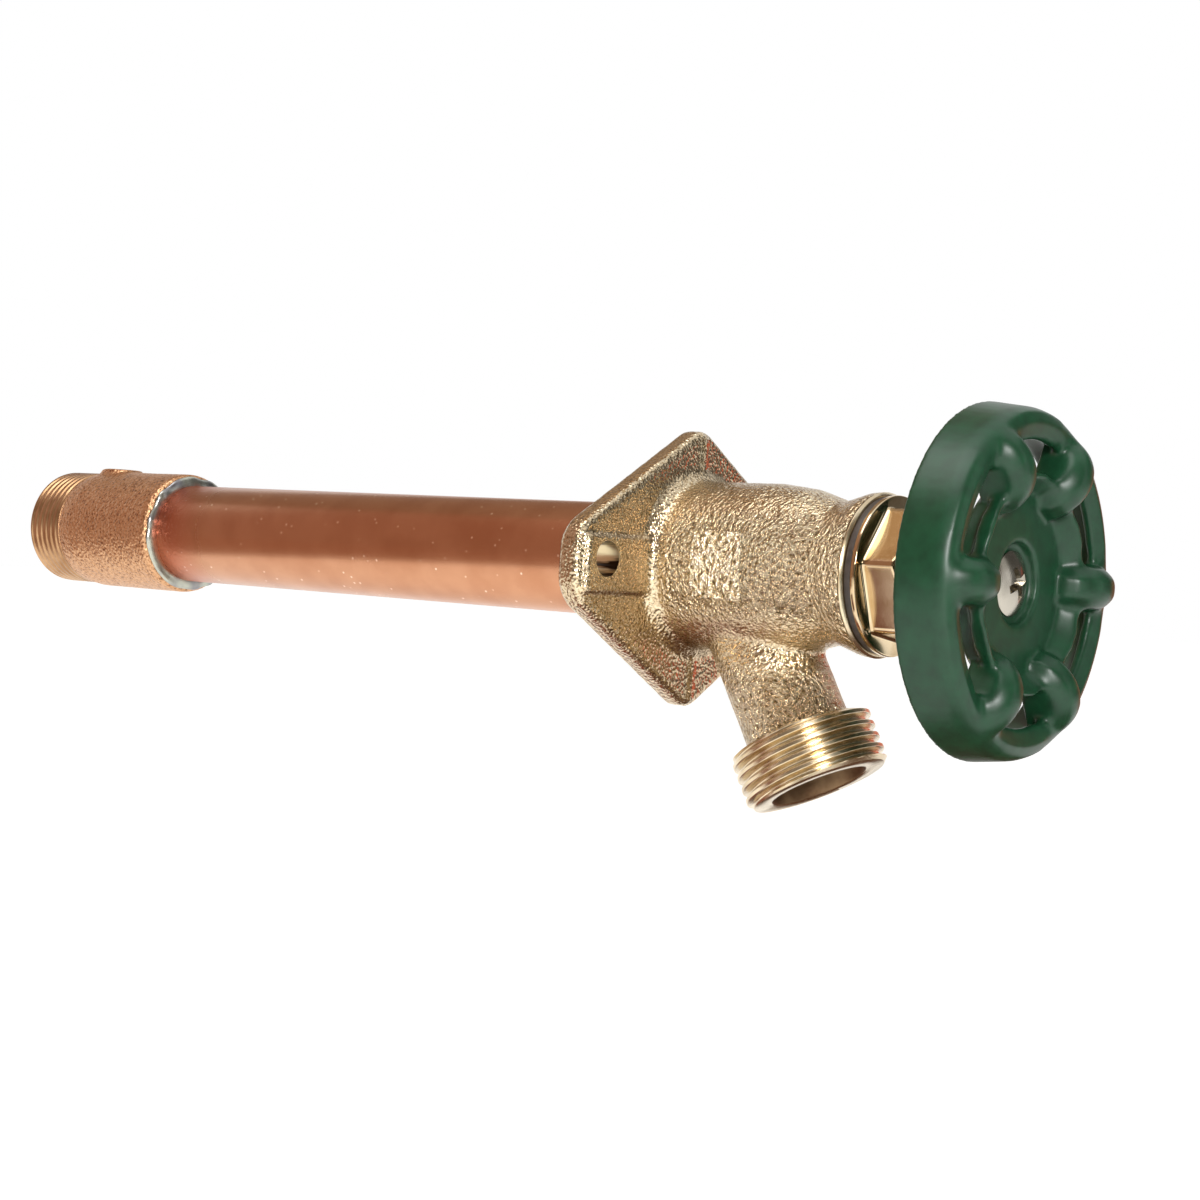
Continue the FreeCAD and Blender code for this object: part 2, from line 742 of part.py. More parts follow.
def breaker_spring():
    """The light coil that holds the float off the vents."""
    body = new_body("breaker_spring")
    start = "(float_front + touch_gap + spring_wire / 2)"
    half = "spring_wire / 2"
    wire = draw_outline(sketch_on(body, "wire_sketch", "YZ_Plane"), [
        (f"-({start} + {half})", f"spring_radius + {half}"),
        (f"-({start} + {half})", f"spring_radius - {half}"),
        (f"-({start} - {half})", f"spring_radius - {half}"),
        (f"-({start} - {half})", f"spring_radius + {half}"),
    ])
    coil = body.newObject("PartDesign::AdditiveHelix", "coil")
    coil.Profile = wire
    coil.ReferenceAxis = (wire, ["H_Axis"])
    coil.Mode = "height-turns-angle"
    coil.setExpression("Height", full(f"spring_bore_front - touch_gap - {half} - {start}"))
    coil.setExpression("Turns", full("spring_turns"))
    coil.Reversed = True
    return body


def stem():
    """Stepped stem: rod socket, screw thread's cylinder, packing journal and square end."""
    body = new_body("stem")
    turn_on_axis(body, "blank", [
        ("stem_back_out", "rod_radius + running_gap"),
        ("stem_back_out", "stem_socket_radius"),
        ("stem_socket_front", "stem_socket_radius"),
        ("stem_socket_front", "stem_thread_radius"),
        ("stem_thread_front", "stem_thread_radius"),
        ("stem_thread_front", "stem_radius"),
        ("wheel_seat_out", "stem_radius"),
        ("wheel_seat_out", "0"),
        ("stem_back_out + rod_into_stem", "0"),
        ("stem_back_out + rod_into_stem", "rod_radius + running_gap"),
    ])
    half = "stem_square / 2"
    square = box(sketch_on(body, "square_sketch", "XZ_Plane", "wheel_seat_out"), half, f"-{half}", half)
    extrude(body, "Pad", "square", square, "stem_front - wheel_seat_out")
    tapped = sketch_on(body, "tapped_hole_sketch", "XZ_Plane", "stem_front + overcut")
    draw_circle(tapped, "0", "0", "handle_screw_radius + thread_gap")
    extrude(body, "Pocket", "tapped_hole", tapped, "handle_screw_length + 2 * overcut")
    cross_hole(body, "stem_socket_radius")
    return body


def cross_hole(body, reach):
    """The hole for the pin that joins the stem to the rod."""
    sketch = sketch_on(body, "pin_hole_sketch", "YZ_Plane", f"-({reach} + overcut)")
    draw_circle(sketch, "-(pin_out)", "0", "pin_radius + running_gap")
    hole = extrude(body, "Pocket", "pin_hole", sketch, f"2 * ({reach} + overcut)")
    hole.Reversed = True


def operating_rod():
    """Long rod to the seat disc, with a turned neck and head that let the disc swivel."""
    body = new_body("operating_rod")
    turn_on_axis(body, "rod", [
        ("rod_front", "0"),
        ("rod_front", "rod_radius"),
        ("-rod_shoulder", "rod_radius"),
        ("-rod_shoulder", "swivel_neck_radius"),
        ("-(swivel_lip + running_gap)", "swivel_neck_radius"),
        ("-(swivel_lip + running_gap)", "swivel_head_radius"),
        ("-(swivel_lip + running_gap + swivel_head_length)", "swivel_head_radius"),
        ("-(swivel_lip + running_gap + swivel_head_length)", "0"),
    ])
    cross_hole(body, "rod_radius")
    return body


def rod_pin():
    body = new_body("rod_pin")
    sketch = sketch_on(body, "pin_sketch", "YZ_Plane")
    draw_circle(sketch, "-(pin_out)", "0", "pin_radius")
    extrude(body, "Pad", "pin", sketch, "2 * stem_socket_radius", "Symmetric")
    return body


def rod_guide():
    """Moulded spider on the rod that keeps it central in the tube."""
    body = new_body("rod_guide")
    hub = sketch_on(body, "hub_sketch", "XZ_Plane", "-(guide_position + guide_thick / 2)")
    draw_circle(hub, "0", "0", "guide_hub_radius")
    extrude(body, "Pad", "hub", hub, "guide_thick")
    wing_sketch = sketch_on(body, "wing_sketch", "XZ_Plane", "-(guide_position + guide_thick / 2)")
    reach = "(tube_bore_radius - slide_gap)"
    half = "(guide_wing_width / 2)"
    foot = f"sqrt({reach} ^ 2 - {half} ^ 2)"
    draw_outline(wing_sketch, [
        (f"-{half}", "guide_hub_radius / 2"),
        (half, "guide_hub_radius / 2"),
        (half, foot),
        (f"-{half}", foot, reach, 1),
    ])
    wing = extrude(body, "Pad", "wing", wing_sketch, "guide_thick")
    doc.recompute()
    pattern_about_axis(body, "wings", wing, "guide_wings")
    bore = sketch_on(body, "bore_sketch", "XZ_Plane", "-(guide_position - guide_thick / 2) + overcut")
    draw_circle(bore, "0", "0", "rod_radius + running_gap")
    extrude(body, "Pocket", "bore", bore, "guide_thick + 2 * overcut")
    return body


def seat_disc():
    """Brass cup that holds the seat washer and swivels on the rod's head."""
    body = new_body("seat_disc")
    turn_on_axis(body, "cup", [
        ("-disc_hub_front", "swivel_neck_radius + running_gap"),
        ("-disc_hub_front", "disc_hub_radius"),
        ("-disc_front", "disc_hub_radius"),
        ("-disc_front", "disc_radius"),
        ("-(disc_back + disc_rim)", "disc_radius"),
        ("-(disc_back + disc_rim)", "seat_washer_radius + running_gap"),
        ("-disc_back", "seat_washer_radius + running_gap"),
        ("-disc_back", "seat_screw_radius + thread_gap"),
        ("-swivel_floor", "seat_screw_radius + thread_gap"),
        ("-swivel_floor", "swivel_head_radius + running_gap"),
        ("-swivel_lip", "swivel_head_radius + running_gap"),
        ("-swivel_lip", "swivel_neck_radius + running_gap"),
    ])
    return body


def seat_washer_screw():
    body = new_body("seat_washer_screw")
    face = "-(seat_face - touch_gap)"
    turn_on_axis(body, "screw", [
        ("-seat_screw_tip", "0"),
        ("-seat_screw_tip", "seat_screw_radius"),
        (face, "seat_screw_radius"),
        (face, "seat_screw_head_radius"),
        (f"{face} - seat_screw_head_thick", "seat_screw_top_radius"),
        (f"{face} - seat_screw_head_thick", "0"),
    ])
    return body


def handwheel():
    """Rim, bowl-shaped hub and six rounded ridges that arch from the hub over to the rim."""
    body = new_body("handwheel")
    profile = draw_outline(sketch_on(body, "ridge_sketch", "XY_Plane"), ridge_corners())
    extrude(body, "Pad", "ridge", profile, "ridge_width", "Symmetric")
    side = value("ridge_width / 2")
    low = value("ridge_end_out")

    def on_crest(edge, middle):
        return abs(abs(middle.z) - side) < hair and -middle.y > low

    soften(body, "Chamfer", "ridge_crest", on_crest, "ridge_chamfer")
    doc.recompute()
    ridges = pattern_about_axis(body, "ridges", body.Tip, "ridge_count")
    ridges.TransformMode = "Whole shape"
    turn_on_axis(body, "rim", rim_corners())
    turn_on_axis(body, "hub", [
        ("wheel_seat_out", "0"),
        ("wheel_seat_out", "hub_boss_radius"),
        ("hub_back_out", "hub_boss_radius"),
        ("hub_back_out", "hub_back_radius"),
        ("hub_crest_out - hub_side_depth", "hub_back_radius"),
        ("hub_crest_out - hub_side_depth", "hub_crest_radius"),
        ("hub_crest_out", "hub_crest_radius"),
        ("hub_crest_out", "hub_crest_radius - hub_crest_land"),
        ("hub_floor_out", "hub_floor_radius"),
        ("hub_floor_out", "0"),
    ])
    recess = sketch_on(body, "recess_sketch", "XZ_Plane", "hub_floor_out + overcut")
    draw_circle(recess, "0", "0", "recess_radius")
    extrude(body, "Pocket", "recess", recess, "recess_depth + overcut")
    half = "(stem_square / 2 + broach_gap)"
    broach = box(sketch_on(body, "broach_sketch", "XZ_Plane", "hub_floor_out"), half, f"-{half}", half)
    extrude(body, "Pocket", "broach", broach, "hub_floor_out - wheel_seat_out + overcut")
    return body


def ridge_corners():
    """Side of a ridge: an arch in eight straight runs, which stands on the hub and the rim."""
    runs = 8
    corners = [
        ("ridge_middle_radius - ridge_end_reach", "-ridge_back_out"),
        ("ridge_middle_radius + ridge_end_reach", "-ridge_back_out"),
    ]
    for step in range(runs + 1):
        angle = f"(ridge_end_angle + (180 - 2 * ridge_end_angle) * {step} / {runs})"
        across = f"ridge_middle_radius + ridge_arch_radius * cos({angle})"
        corners.append((across, f"-(ridge_middle_out + ridge_arch_radius * sin({angle}))"))
    return corners


def rim_corners():
    """Section of the rim: a slightly coned band, a front edge rounded in two cones and an inner lip."""
    return [
        ("rim_back_out", "rim_front_radius - rim_wall"),
        ("rim_back_out", "rim_back_radius"),
        ("rim_round_out", "rim_front_radius"),
        ("rim_round_out + rim_edge_radius / sqrt(2)", "rim_crest_radius + rim_edge_radius / sqrt(2)"),
        ("rim_front_out", "rim_crest_radius"),
        ("rim_front_out - rim_dip", "rim_inner_radius"),
        ("rim_lip_out", "rim_inner_radius"),
        ("rim_lip_out", "rim_front_radius - rim_wall"),
    ]


def handle_screw():
    """Oval-head screw with a cross recess."""
    body = new_body("handle_screw")
    turn_on_axis(body, "screw", [
        ("recess_floor - handle_screw_length", "0"),
        ("recess_floor - handle_screw_length", "handle_screw_radius"),
        ("recess_floor", "handle_screw_radius"),
        ("recess_floor", "handle_screw_head_radius"),
        ("screw_edge_out", "handle_screw_head_radius"),
        ("screw_top_out", "handle_screw_crown_radius"),
        ("screw_top_out", "0"),
    ])
    half_width = "(cross_width / 2)"
    half_length = "(cross_length / 2)"
    cross = sketch_on(body, "cross_sketch", "XZ_Plane", "screw_top_out + overcut")
    draw_outline(cross, [
        (half_length, half_width), (half_width, half_width), (half_width, half_length),
        (f"-{half_width}", half_length), (f"-{half_width}", half_width), (f"-{half_length}", half_width),
        (f"-{half_length}", f"-{half_width}"), (f"-{half_width}", f"-{half_width}"),
        (f"-{half_width}", f"-{half_length}"), (half_width, f"-{half_length}"),
        (half_width, f"-{half_width}"), (half_length, f"-{half_width}"),
    ])
    extrude(body, "Pocket", "cross", cross, "cross_depth + overcut")
    return body


def build():
    rod_fit = "stem_thread_radius + slide_gap"
    inner_ring = "stem_bore_radius"
    return [
        casing_tube(),
        inlet_fitting(),
        solder_ring("inlet_solder_ring", "-tube_reach", 1),
        solder_ring("head_solder_ring", "solder_bead", -1),
        head_casting(),
        flat_ring("float_stop_ring", "float_shoulder_out", "stop_ring_front", "stop_ring_radius",
                  "bonnet_skirt_radius"),
        flat_ring("breaker_float", "stop_ring_front", "float_front", rod_fit, "float_radius"),
        breaker_spring(),
        flat_ring("bonnet_gasket", "head_front", "bonnet_rim_back", "bonnet_skirt_radius + slide_gap",
                  "bonnet_rim_radius - gasket_inset"),
        bonnet(),
        flat_ring("packing_washer", "stuffing_back", "packing_back", inner_ring, "ring_fit_radius"),
        flat_ring("stem_packing", "packing_back", "gland_back", inner_ring, "ring_fit_radius"),
        flat_ring("packing_gland", "gland_back", "gland_front", inner_ring, "ring_fit_radius"),
        packing_nut(),
        stem(),
        operating_rod(),
        rod_pin(),
        rod_guide(),
        seat_disc(),
        flat_ring("seat_washer", "-(seat_face - touch_gap)", "-disc_back", "seat_screw_radius + thread_gap",
                  "seat_washer_radius"),
        seat_washer_screw(),
        handwheel(),
        handle_screw(),
    ]


def check(bodies):
    """Stops when anything in the document failed, or a sub-part isn't one sound solid."""
    for item in doc.Objects:
        if "Invalid" in item.State or "Error" in item.State:
            raise RuntimeError(f"{item.Name} failed: {item.State}")
    for body in bodies:
        shape = body.Shape
        if shape.isNull() or not shape.isValid() or len(shape.Solids) != 1:
            raise RuntimeError(f"{body.Label} isn't one sound solid")
        print(f"{body.Label}: {shape.Volume:.1f} mm3")


bodies = build()
doc.recompute()
check(bodies)
os.makedirs("parts", exist_ok=True)
for body in bodies:
    body.Shape.exportStep(f"parts/{body.Label}.step")
print(f"{len(bodies)} sub-parts")
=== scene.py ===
import math

import bmesh
import bpy
import numpy as np
from mathutils import Matrix, Vector, noise


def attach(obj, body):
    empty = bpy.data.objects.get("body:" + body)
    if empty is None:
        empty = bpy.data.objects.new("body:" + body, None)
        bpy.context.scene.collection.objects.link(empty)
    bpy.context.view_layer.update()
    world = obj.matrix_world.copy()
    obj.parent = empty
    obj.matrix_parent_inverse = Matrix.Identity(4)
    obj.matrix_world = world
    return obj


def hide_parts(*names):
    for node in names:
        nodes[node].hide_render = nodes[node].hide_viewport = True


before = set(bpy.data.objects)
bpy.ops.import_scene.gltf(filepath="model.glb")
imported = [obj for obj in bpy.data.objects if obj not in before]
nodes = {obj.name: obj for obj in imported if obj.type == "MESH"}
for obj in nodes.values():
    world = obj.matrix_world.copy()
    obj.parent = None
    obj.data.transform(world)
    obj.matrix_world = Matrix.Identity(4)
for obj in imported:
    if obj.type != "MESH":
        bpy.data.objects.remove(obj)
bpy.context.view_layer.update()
mm = 0.001
print("frame loaded:", len(nodes), "CAD nodes")


def hexColor(text):  # sRGB hex to the linear colour that the sockets take
    parts = [int(text[i:i + 2], 16) / 255 for i in (1, 3, 5)]
    return [c / 12.92 if c <= 0.04045 else ((c + 0.055) / 1.055) ** 2.4 for c in parts] + [1.0]


# "stops" fills a colour ramp, the other settings are sockets or properties
def addNode(tree, kind, settings=None, links=None):
    node = tree.nodes.new(kind)
    for name, value in (settings or {}).items():
        if name == "stops":
            ramp = node.color_ramp
            while len(ramp.elements) < len(value):
                ramp.elements.new(0.5)
            for element, (position, color) in zip(ramp.elements, value):
                element.position = position
                element.color = hexColor(color)
        elif isinstance(name, int) or name in node.inputs:
            node.inputs[name].default_value = value
        else:
            setattr(node, name, value)
    for name, source in (links or {}).items():
        tree.links.new(source, node.inputs[name])
    return node


def newMaterial(name):
    material = bpy.data.materials.new(name)
    material.use_nodes = True
    tree = material.node_tree
    tree.nodes.clear()
    surface = addNode(tree, "ShaderNodeBsdfPrincipled")
    addNode(tree, "ShaderNodeOutputMaterial", None, {"Surface": surface.outputs[0]})
    place = addNode(tree, "ShaderNodeTexCoord").outputs["Object"]
    return material, tree, surface, place


def perSize(millimetres):  # noise scale that gives features of a real size
    return 1 / (millimetres * mm)


# Camera at the photograph's angle
cameraView = {
    "aim": (0.0, 0.0111, 0.0),
    "azimuth": -52.16,
    "elevation": -0.01,
    "roll": 3.49,
    "distance": 0.39024,
    "focalPixels": 2008.8,
    "photoPixels": 1200,
    "center": (630.9, 560.3),
}


def placeCamera(view):
    a, e, r = (math.radians(view[key]) for key in ("azimuth", "elevation", "roll"))
    back = Vector((math.sin(a) * math.cos(e), -math.cos(a) * math.cos(e), math.sin(e)))
    level = Vector((math.cos(a), math.sin(a), 0))
    right = level * math.cos(r) + back.cross(level) * math.sin(r)
    up = back.cross(right)
    data = bpy.data.cameras.new("camera")
    data.sensor_width = 36
    size = view["photoPixels"]
    data.lens = view["focalPixels"] / size * data.sensor_width
    data.shift_x = (size / 2 - view["center"][0]) / size
    data.shift_y = (view["center"][1] - size / 2) / size
    camera = bpy.data.objects.new("camera", data)
    bpy.context.scene.collection.objects.link(camera)
    eye = Vector(view["aim"]) + back * view["distance"]
    camera.matrix_world = Matrix.Translation(eye) @ Matrix((right, up, back)).transposed().to_4x4()
    bpy.context.scene.camera = camera
    return eye, right, up, back


eye, right, up, back = placeCamera(cameraView)
print("camera placed")

# Studio: white sweep, a box above, a small one beside the camera, and dull cards that only reflections see
studio = {
    "middle": (0, -0.02, 0),
    "floorDrop": 0.110,
    "floorReach": 4,
    "floorColor": "#F4F3F0",
    "floorGlow": 0.56,
    "ambient": 0.5,
    "boxes": [
        # name, place from the middle in camera directions (right, up, back), width, height, watts
        ("topBox", (-0.10, 0.60, 0.15), 0.5, 0.35, 1.8),
        ("frontBox", (0.10, 0.16, 0.55), 0.12, 0.12, 2.4),
    ],
    "cards": [
        # name, direction from the middle (x, y, z), distance, width, height, colour
        ("leftCard", (-0.62, 0.66, 0.42), 1.0, 1.1, 1.75, "#B08A78"),
        ("leftFrontCard", (-0.95, -0.10, 0.35), 1.0, 1.2, 1.5, "#7A6C60"),
        ("frontCard", (-0.40, -0.90, 0.35), 1.05, 1.5, 1.5, "#6E645A"),
        ("rightCard", (0.85, -0.50, 0.25), 1.0, 0.9, 1.2, "#5C5A56"),
        ("leftLowCard", (-0.572, 0.798, -0.18), 0.332, 0.35, 0.09, "#B48C78"),
        ("rearCard", (0.30, 0.62, 0.72), 1.0, 1.0, 0.9, "#9A8470"),
        ("floorCard", (0.35, -0.30, -0.85), 0.095, 0.12, 0.10, "#5E3E2A"),
        ("warmCard", (1.0, -0.10, -0.12), 0.5, 0.30, 0.30, "#E06A48"),
        ("lowCard", (-0.10, 0.38, -0.95), 0.105, 0.08, 0.08, "#8C4630"),
        ("smallCard", (-0.714, 0.362, -0.60), 0.1134, 0.044, 0.044, "#74341E"),
        ("goldCard", (-0.19, 0.402, 0.895), 0.1034, 0.055, 0.055, "#C09A70"),
    ],
}


def seenDirectly(tree):  # 1 for what the camera sees, in the open or in metal or through glass
    rays = addNode(tree, "ShaderNodeLightPath")
    seen = addNode(tree, "ShaderNodeMath", {"operation": "MAXIMUM"},
                   {0: rays.outputs["Is Camera Ray"], 1: rays.outputs["Is Glossy Ray"]})
    return addNode(tree, "ShaderNodeMath", {"operation": "MAXIMUM"},
                   {0: seen.outputs[0], 1: rays.outputs["Is Transmission Ray"]}).outputs[0]


def turnTo(piece, place, middle):
    piece.location = place
    piece.rotation_mode = "QUATERNION"
    piece.rotation_quaternion = (middle - place).to_track_quat("-Z", "Y")


def buildStudio(settings):
    middle = Vector(settings["middle"])
    for name, (x, y, z), width, height, watts in settings["boxes"]:
        data = bpy.data.lights.new(name, "AREA")
        data.shape = "RECTANGLE"
        data.size, data.size_y, data.energy = width, height, watts
        lamp = bpy.data.objects.new(name, data)
        bpy.context.scene.collection.objects.link(lamp)
        turnTo(lamp, middle + right * x + up * y + back * z, middle)
    for name, direction, distance, width, height, color in settings["cards"]:
        w, h = width / 2, height / 2
        card = meshObject(name, [(-w, -h, 0), (w, -h, 0), (w, h, 0), (-w, h, 0)], [(0, 1, 2, 3)])
        turnTo(card, middle + Vector(direction).normalized() * distance, middle)
        card.visible_camera = card.visible_diffuse = card.visible_shadow = False
        material, tree, surface, place = newMaterial(name)
        surface.inputs["Base Color"].default_value = hexColor("#000000")
        surface.inputs["Emission Color"].default_value = hexColor(color)
        surface.inputs["Emission Strength"].default_value = 1.0
        card.data.materials.append(material)
    world = bpy.data.worlds.new("studioWorld")
    world.use_nodes = True
    tree = world.node_tree
    tree.nodes.clear()
    level = addNode(tree, "ShaderNodeMapRange", {"To Min": settings["ambient"], "To Max": 1.0},
                    {"Value": seenDirectly(tree)})
    sky = addNode(tree, "ShaderNodeBackground", {"Color": hexColor("#FFFFFF")}, {"Strength": level.outputs[0]})
    addNode(tree, "ShaderNodeOutputWorld", None, {"Surface": sky.outputs[0]})
    bpy.context.scene.world = world
    bpy.context.scene.view_settings.view_transform = "Standard"
    reach, low = settings["floorReach"], -settings["floorDrop"]
    corners = [(-reach, -reach, low), (reach, -reach, low), (reach, reach, low), (-reach, reach, low)]
    floor = meshObject("studioFloor", corners, [(0, 1, 2, 3)])
    material, tree, surface, place = newMaterial("paintedFloor")
    glow = addNode(tree, "ShaderNodeMath", {"operation": "MULTIPLY", 1: settings["floorGlow"]},
                   {0: seenDirectly(tree)})
    tree.links.new(glow.outputs[0], surface.inputs["Emission Strength"])
    surface.inputs["Emission Color"].default_value = hexColor("#FFFFFF")
    surface.inputs["Base Color"].default_value = hexColor(settings["floorColor"])
    surface.inputs["Roughness"].default_value = 0.9
    floor.data.materials.append(material)


def meshObject(name, vertices, faces, smooth=True):
    mesh = bpy.data.meshes.new(name)
    mesh.from_pydata([tuple(v) for v in vertices], [], faces)
    mesh.validate()
    for polygon in mesh.polygons:
        polygon.use_smooth = smooth
    piece = bpy.data.objects.new(name, mesh)
    bpy.context.scene.collection.objects.link(piece)
    return piece


buildStudio(studio)
print("studio built")


def ringFaces(rows, segments, closed=True):  # quads between each ring of points and the next
    faces = []
    for row in range(rows if closed else rows - 1):
        below, above = row * segments, (row + 1) % rows * segments
        for i in range(segments):
            j = (i + 1) % segments
            faces.append((below + i, below + j, above + j, above + i))
    return faces


def faceOutward(piece):
    bm = bmesh.new()
    bm.from_mesh(piece.data)
    bmesh.ops.recalc_face_normals(bm, faces=bm.faces)
    bm.to_mesh(piece.data)
    bm.free()


# outline: a closed loop of (distance out, radius) in mm
def latheObject(name, outline, segments=192, crease=35):
    angles = [2 * math.pi * i / segments for i in range(segments)]
    vertices = [(r * mm * math.cos(a), -t * mm, r * mm * math.sin(a)) for t, r in outline for a in angles]
    piece = meshObject(name, vertices, ringFaces(len(outline), segments))
    faceOutward(piece)
    piece.data.set_sharp_from_angle(angle=math.radians(crease))
    return piece


def easeCorners(outline, size, steps=3):  # a small round on every corner, as a tool or tumbling leaves it
    eased = []
    for index, corner in enumerate(outline):
        corner = np.array(corner, float)
        before = np.array(outline[index - 1]) - corner
        after = np.array(outline[(index + 1) % len(outline)]) - corner
        start = corner + before / np.linalg.norm(before) * min(size, np.linalg.norm(before) / 2.2)
        end = corner + after / np.linalg.norm(after) * min(size, np.linalg.norm(after) / 2.2)
        for step in range(steps + 1):
            u = step / steps
            eased.append(tuple((1 - u) ** 2 * start + 2 * u * (1 - u) * corner + u * u * end))
    return eased


def modifiedMesh(piece):
    return bpy.data.meshes.new_from_object(piece.evaluated_get(bpy.context.evaluated_depsgraph_get()))


def cutAway(piece, cutter, solver):
    cut = piece.modifiers.new("cut", "BOOLEAN")
    cut.operation = "DIFFERENCE"
    cut.solver = solver
    cut.object = cutter
    mesh = modifiedMesh(piece)
    piece.modifiers.clear()
    piece.data = mesh
    bpy.data.objects.remove(cutter)


# A copy of the CAD node's mesh, with closed solids added, rebuilt as an even skin that can be worked
def remeshNode(node, name, voxel, added=()):
    piece = bpy.data.objects.new(name + "Draft", nodes[node].data.copy())
    bpy.context.scene.collection.objects.link(piece)
    bm = bmesh.new()
    bm.from_mesh(piece.data)
    bmesh.ops.remove_doubles(bm, verts=bm.verts, dist=1e-6)
    for vertices, faces in added:
        corners = [bm.verts.new(point) for point in vertices]
        new = [bm.faces.new([corners[i] for i in face]) for face in faces]
        bmesh.ops.recalc_face_normals(bm, faces=new)
    bm.to_mesh(piece.data)
    bm.free()
    remesh = piece.modifiers.new("skin", "REMESH")
    remesh.mode = "VOXEL"
    remesh.voxel_size = voxel * mm
    mesh = modifiedMesh(piece)
    bpy.data.objects.remove(piece)
    worked = bpy.data.objects.new(name, mesh)
    bpy.context.scene.collection.objects.link(worked)
    mesh.materials.clear()
    for polygon in mesh.polygons:
        polygon.use_smooth = True
    return worked


def readPoints(mesh):
    points = np.empty(len(mesh.vertices) * 3)
    mesh.vertices.foreach_get("co", points)
    return points.reshape(-1, 3) / mm


def writePoints(mesh, points):
    mesh.vertices.foreach_set("co", (points * mm).ravel())
    mesh.update()


def readNormals(mesh):
    normals = np.empty(len(mesh.vertices) * 3)
    mesh.vertex_normals.foreach_get("vector", normals)
    return normals.reshape(-1, 3)


# Each point moves towards the middle of its neighbours by its own share
def relax(mesh, points, rounds, share):
    edges = np.empty(len(mesh.edges) * 2, int)
    mesh.edges.foreach_get("vertices", edges)
    a, b = edges.reshape(-1, 2).T
    total = len(points)
    neighbors = np.bincount(a, minlength=total) + np.bincount(b, minlength=total)
    for step in range(rounds):
        for axis in range(3):
            values = points[:, axis]
            around = np.bincount(a, values[b], total) + np.bincount(b, values[a], total)
            points[:, axis] = values + share * (around / neighbors - values)
    return points


def unevenness(points, size, seed):  # smooth noise from -1 to 1 with lumps of a size in mm
    return np.array([noise.noise(Vector(p) / size + Vector((seed, seed * 2.3, 0))) for p in points])


def dents(points, size, depth, seed):  # hollows of that size and depth, and nothing above the surface
    return (unevenness(points, size, seed) - 1) * depth / 2


def easeBetween(value, low, high):  # 0 below low, 1 above high, smooth between
    u = np.clip((value - low) / (high - low), 0, 1)
    return u * u * (3 - 2 * u)


def upAndDown(value, rise, fall):  # 1 between the two ramps and 0 outside them
    return easeBetween(value, *rise) * (1 - easeBetween(value, *fall))


def keepPart(mesh, keep):  # drops the faces with a point that isn't kept
    bm = bmesh.new()
    bm.from_mesh(mesh)
    bm.verts.ensure_lookup_table()
    gone = [bm.verts[i] for i in np.flatnonzero(~keep)]
    bmesh.ops.delete(bm, geom=gone, context="VERTS")
    bm.to_mesh(mesh)
    bm.free()


def settle(piece, materials, body, slot, *replaced):  # faces keep the number of their material
    indices = [polygon.material_index for polygon in piece.data.polygons]
    piece.data.materials.clear()
    for material in materials:
        piece.data.materials.append(material)
    piece.data.polygons.foreach_set("material_index", indices)
    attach(piece, body)
    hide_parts(*replaced)


# Sand-cast brass, tumbled: a satin grain of tiny facets that sparkle, darker in the hollows. It is coarse in a
# band round the barrel and down the spout, and finer elsewhere and on the flange;
# that band is also tinted a little lighter, a painted highlight. Sizes are in mm
castBrass = {
    "light": "#DACAAC", "mid": "#C6B08E", "dark": "#8C7656", "roughness": 0.22,
    "fine": 0.45, "fineDepth": 0.2, "pebble": 1.2, "grain": 0.8, "depth": 2.3, "lump": 2.6, "lumpShare": 0.15,
    "flangeEnd": 6.6, "flangeFade": 4, "band": (7, 10.5), "outsideBand": 0.3, "spout": (17, 20), "onSpout": 0.7,
    # painted highlight: how much lighter the coarse band is tinted
    "paintedSheen": 0.05,
}
# The raised square: the same brass, coarser, and tinted lighter, a painted highlight where it faces the light
raisedBrass = dict(castBrass, light="#F2E6CC", mid="#E4D2B0", dark="#8A7454", grain=1.2, depth=2.6,
                   roughness=0.2)
# Sand-cast bronze, as cast: browner and duller, with dark specks
castBronze = dict(castBrass, light="#DEB086", mid="#C89870", dark="#8A6044", roughness=0.42, fine=0.55,
                  fineDepth=0.26, grain=0.45, depth=0.3, lump=3.2, flangeEnd=7.0)


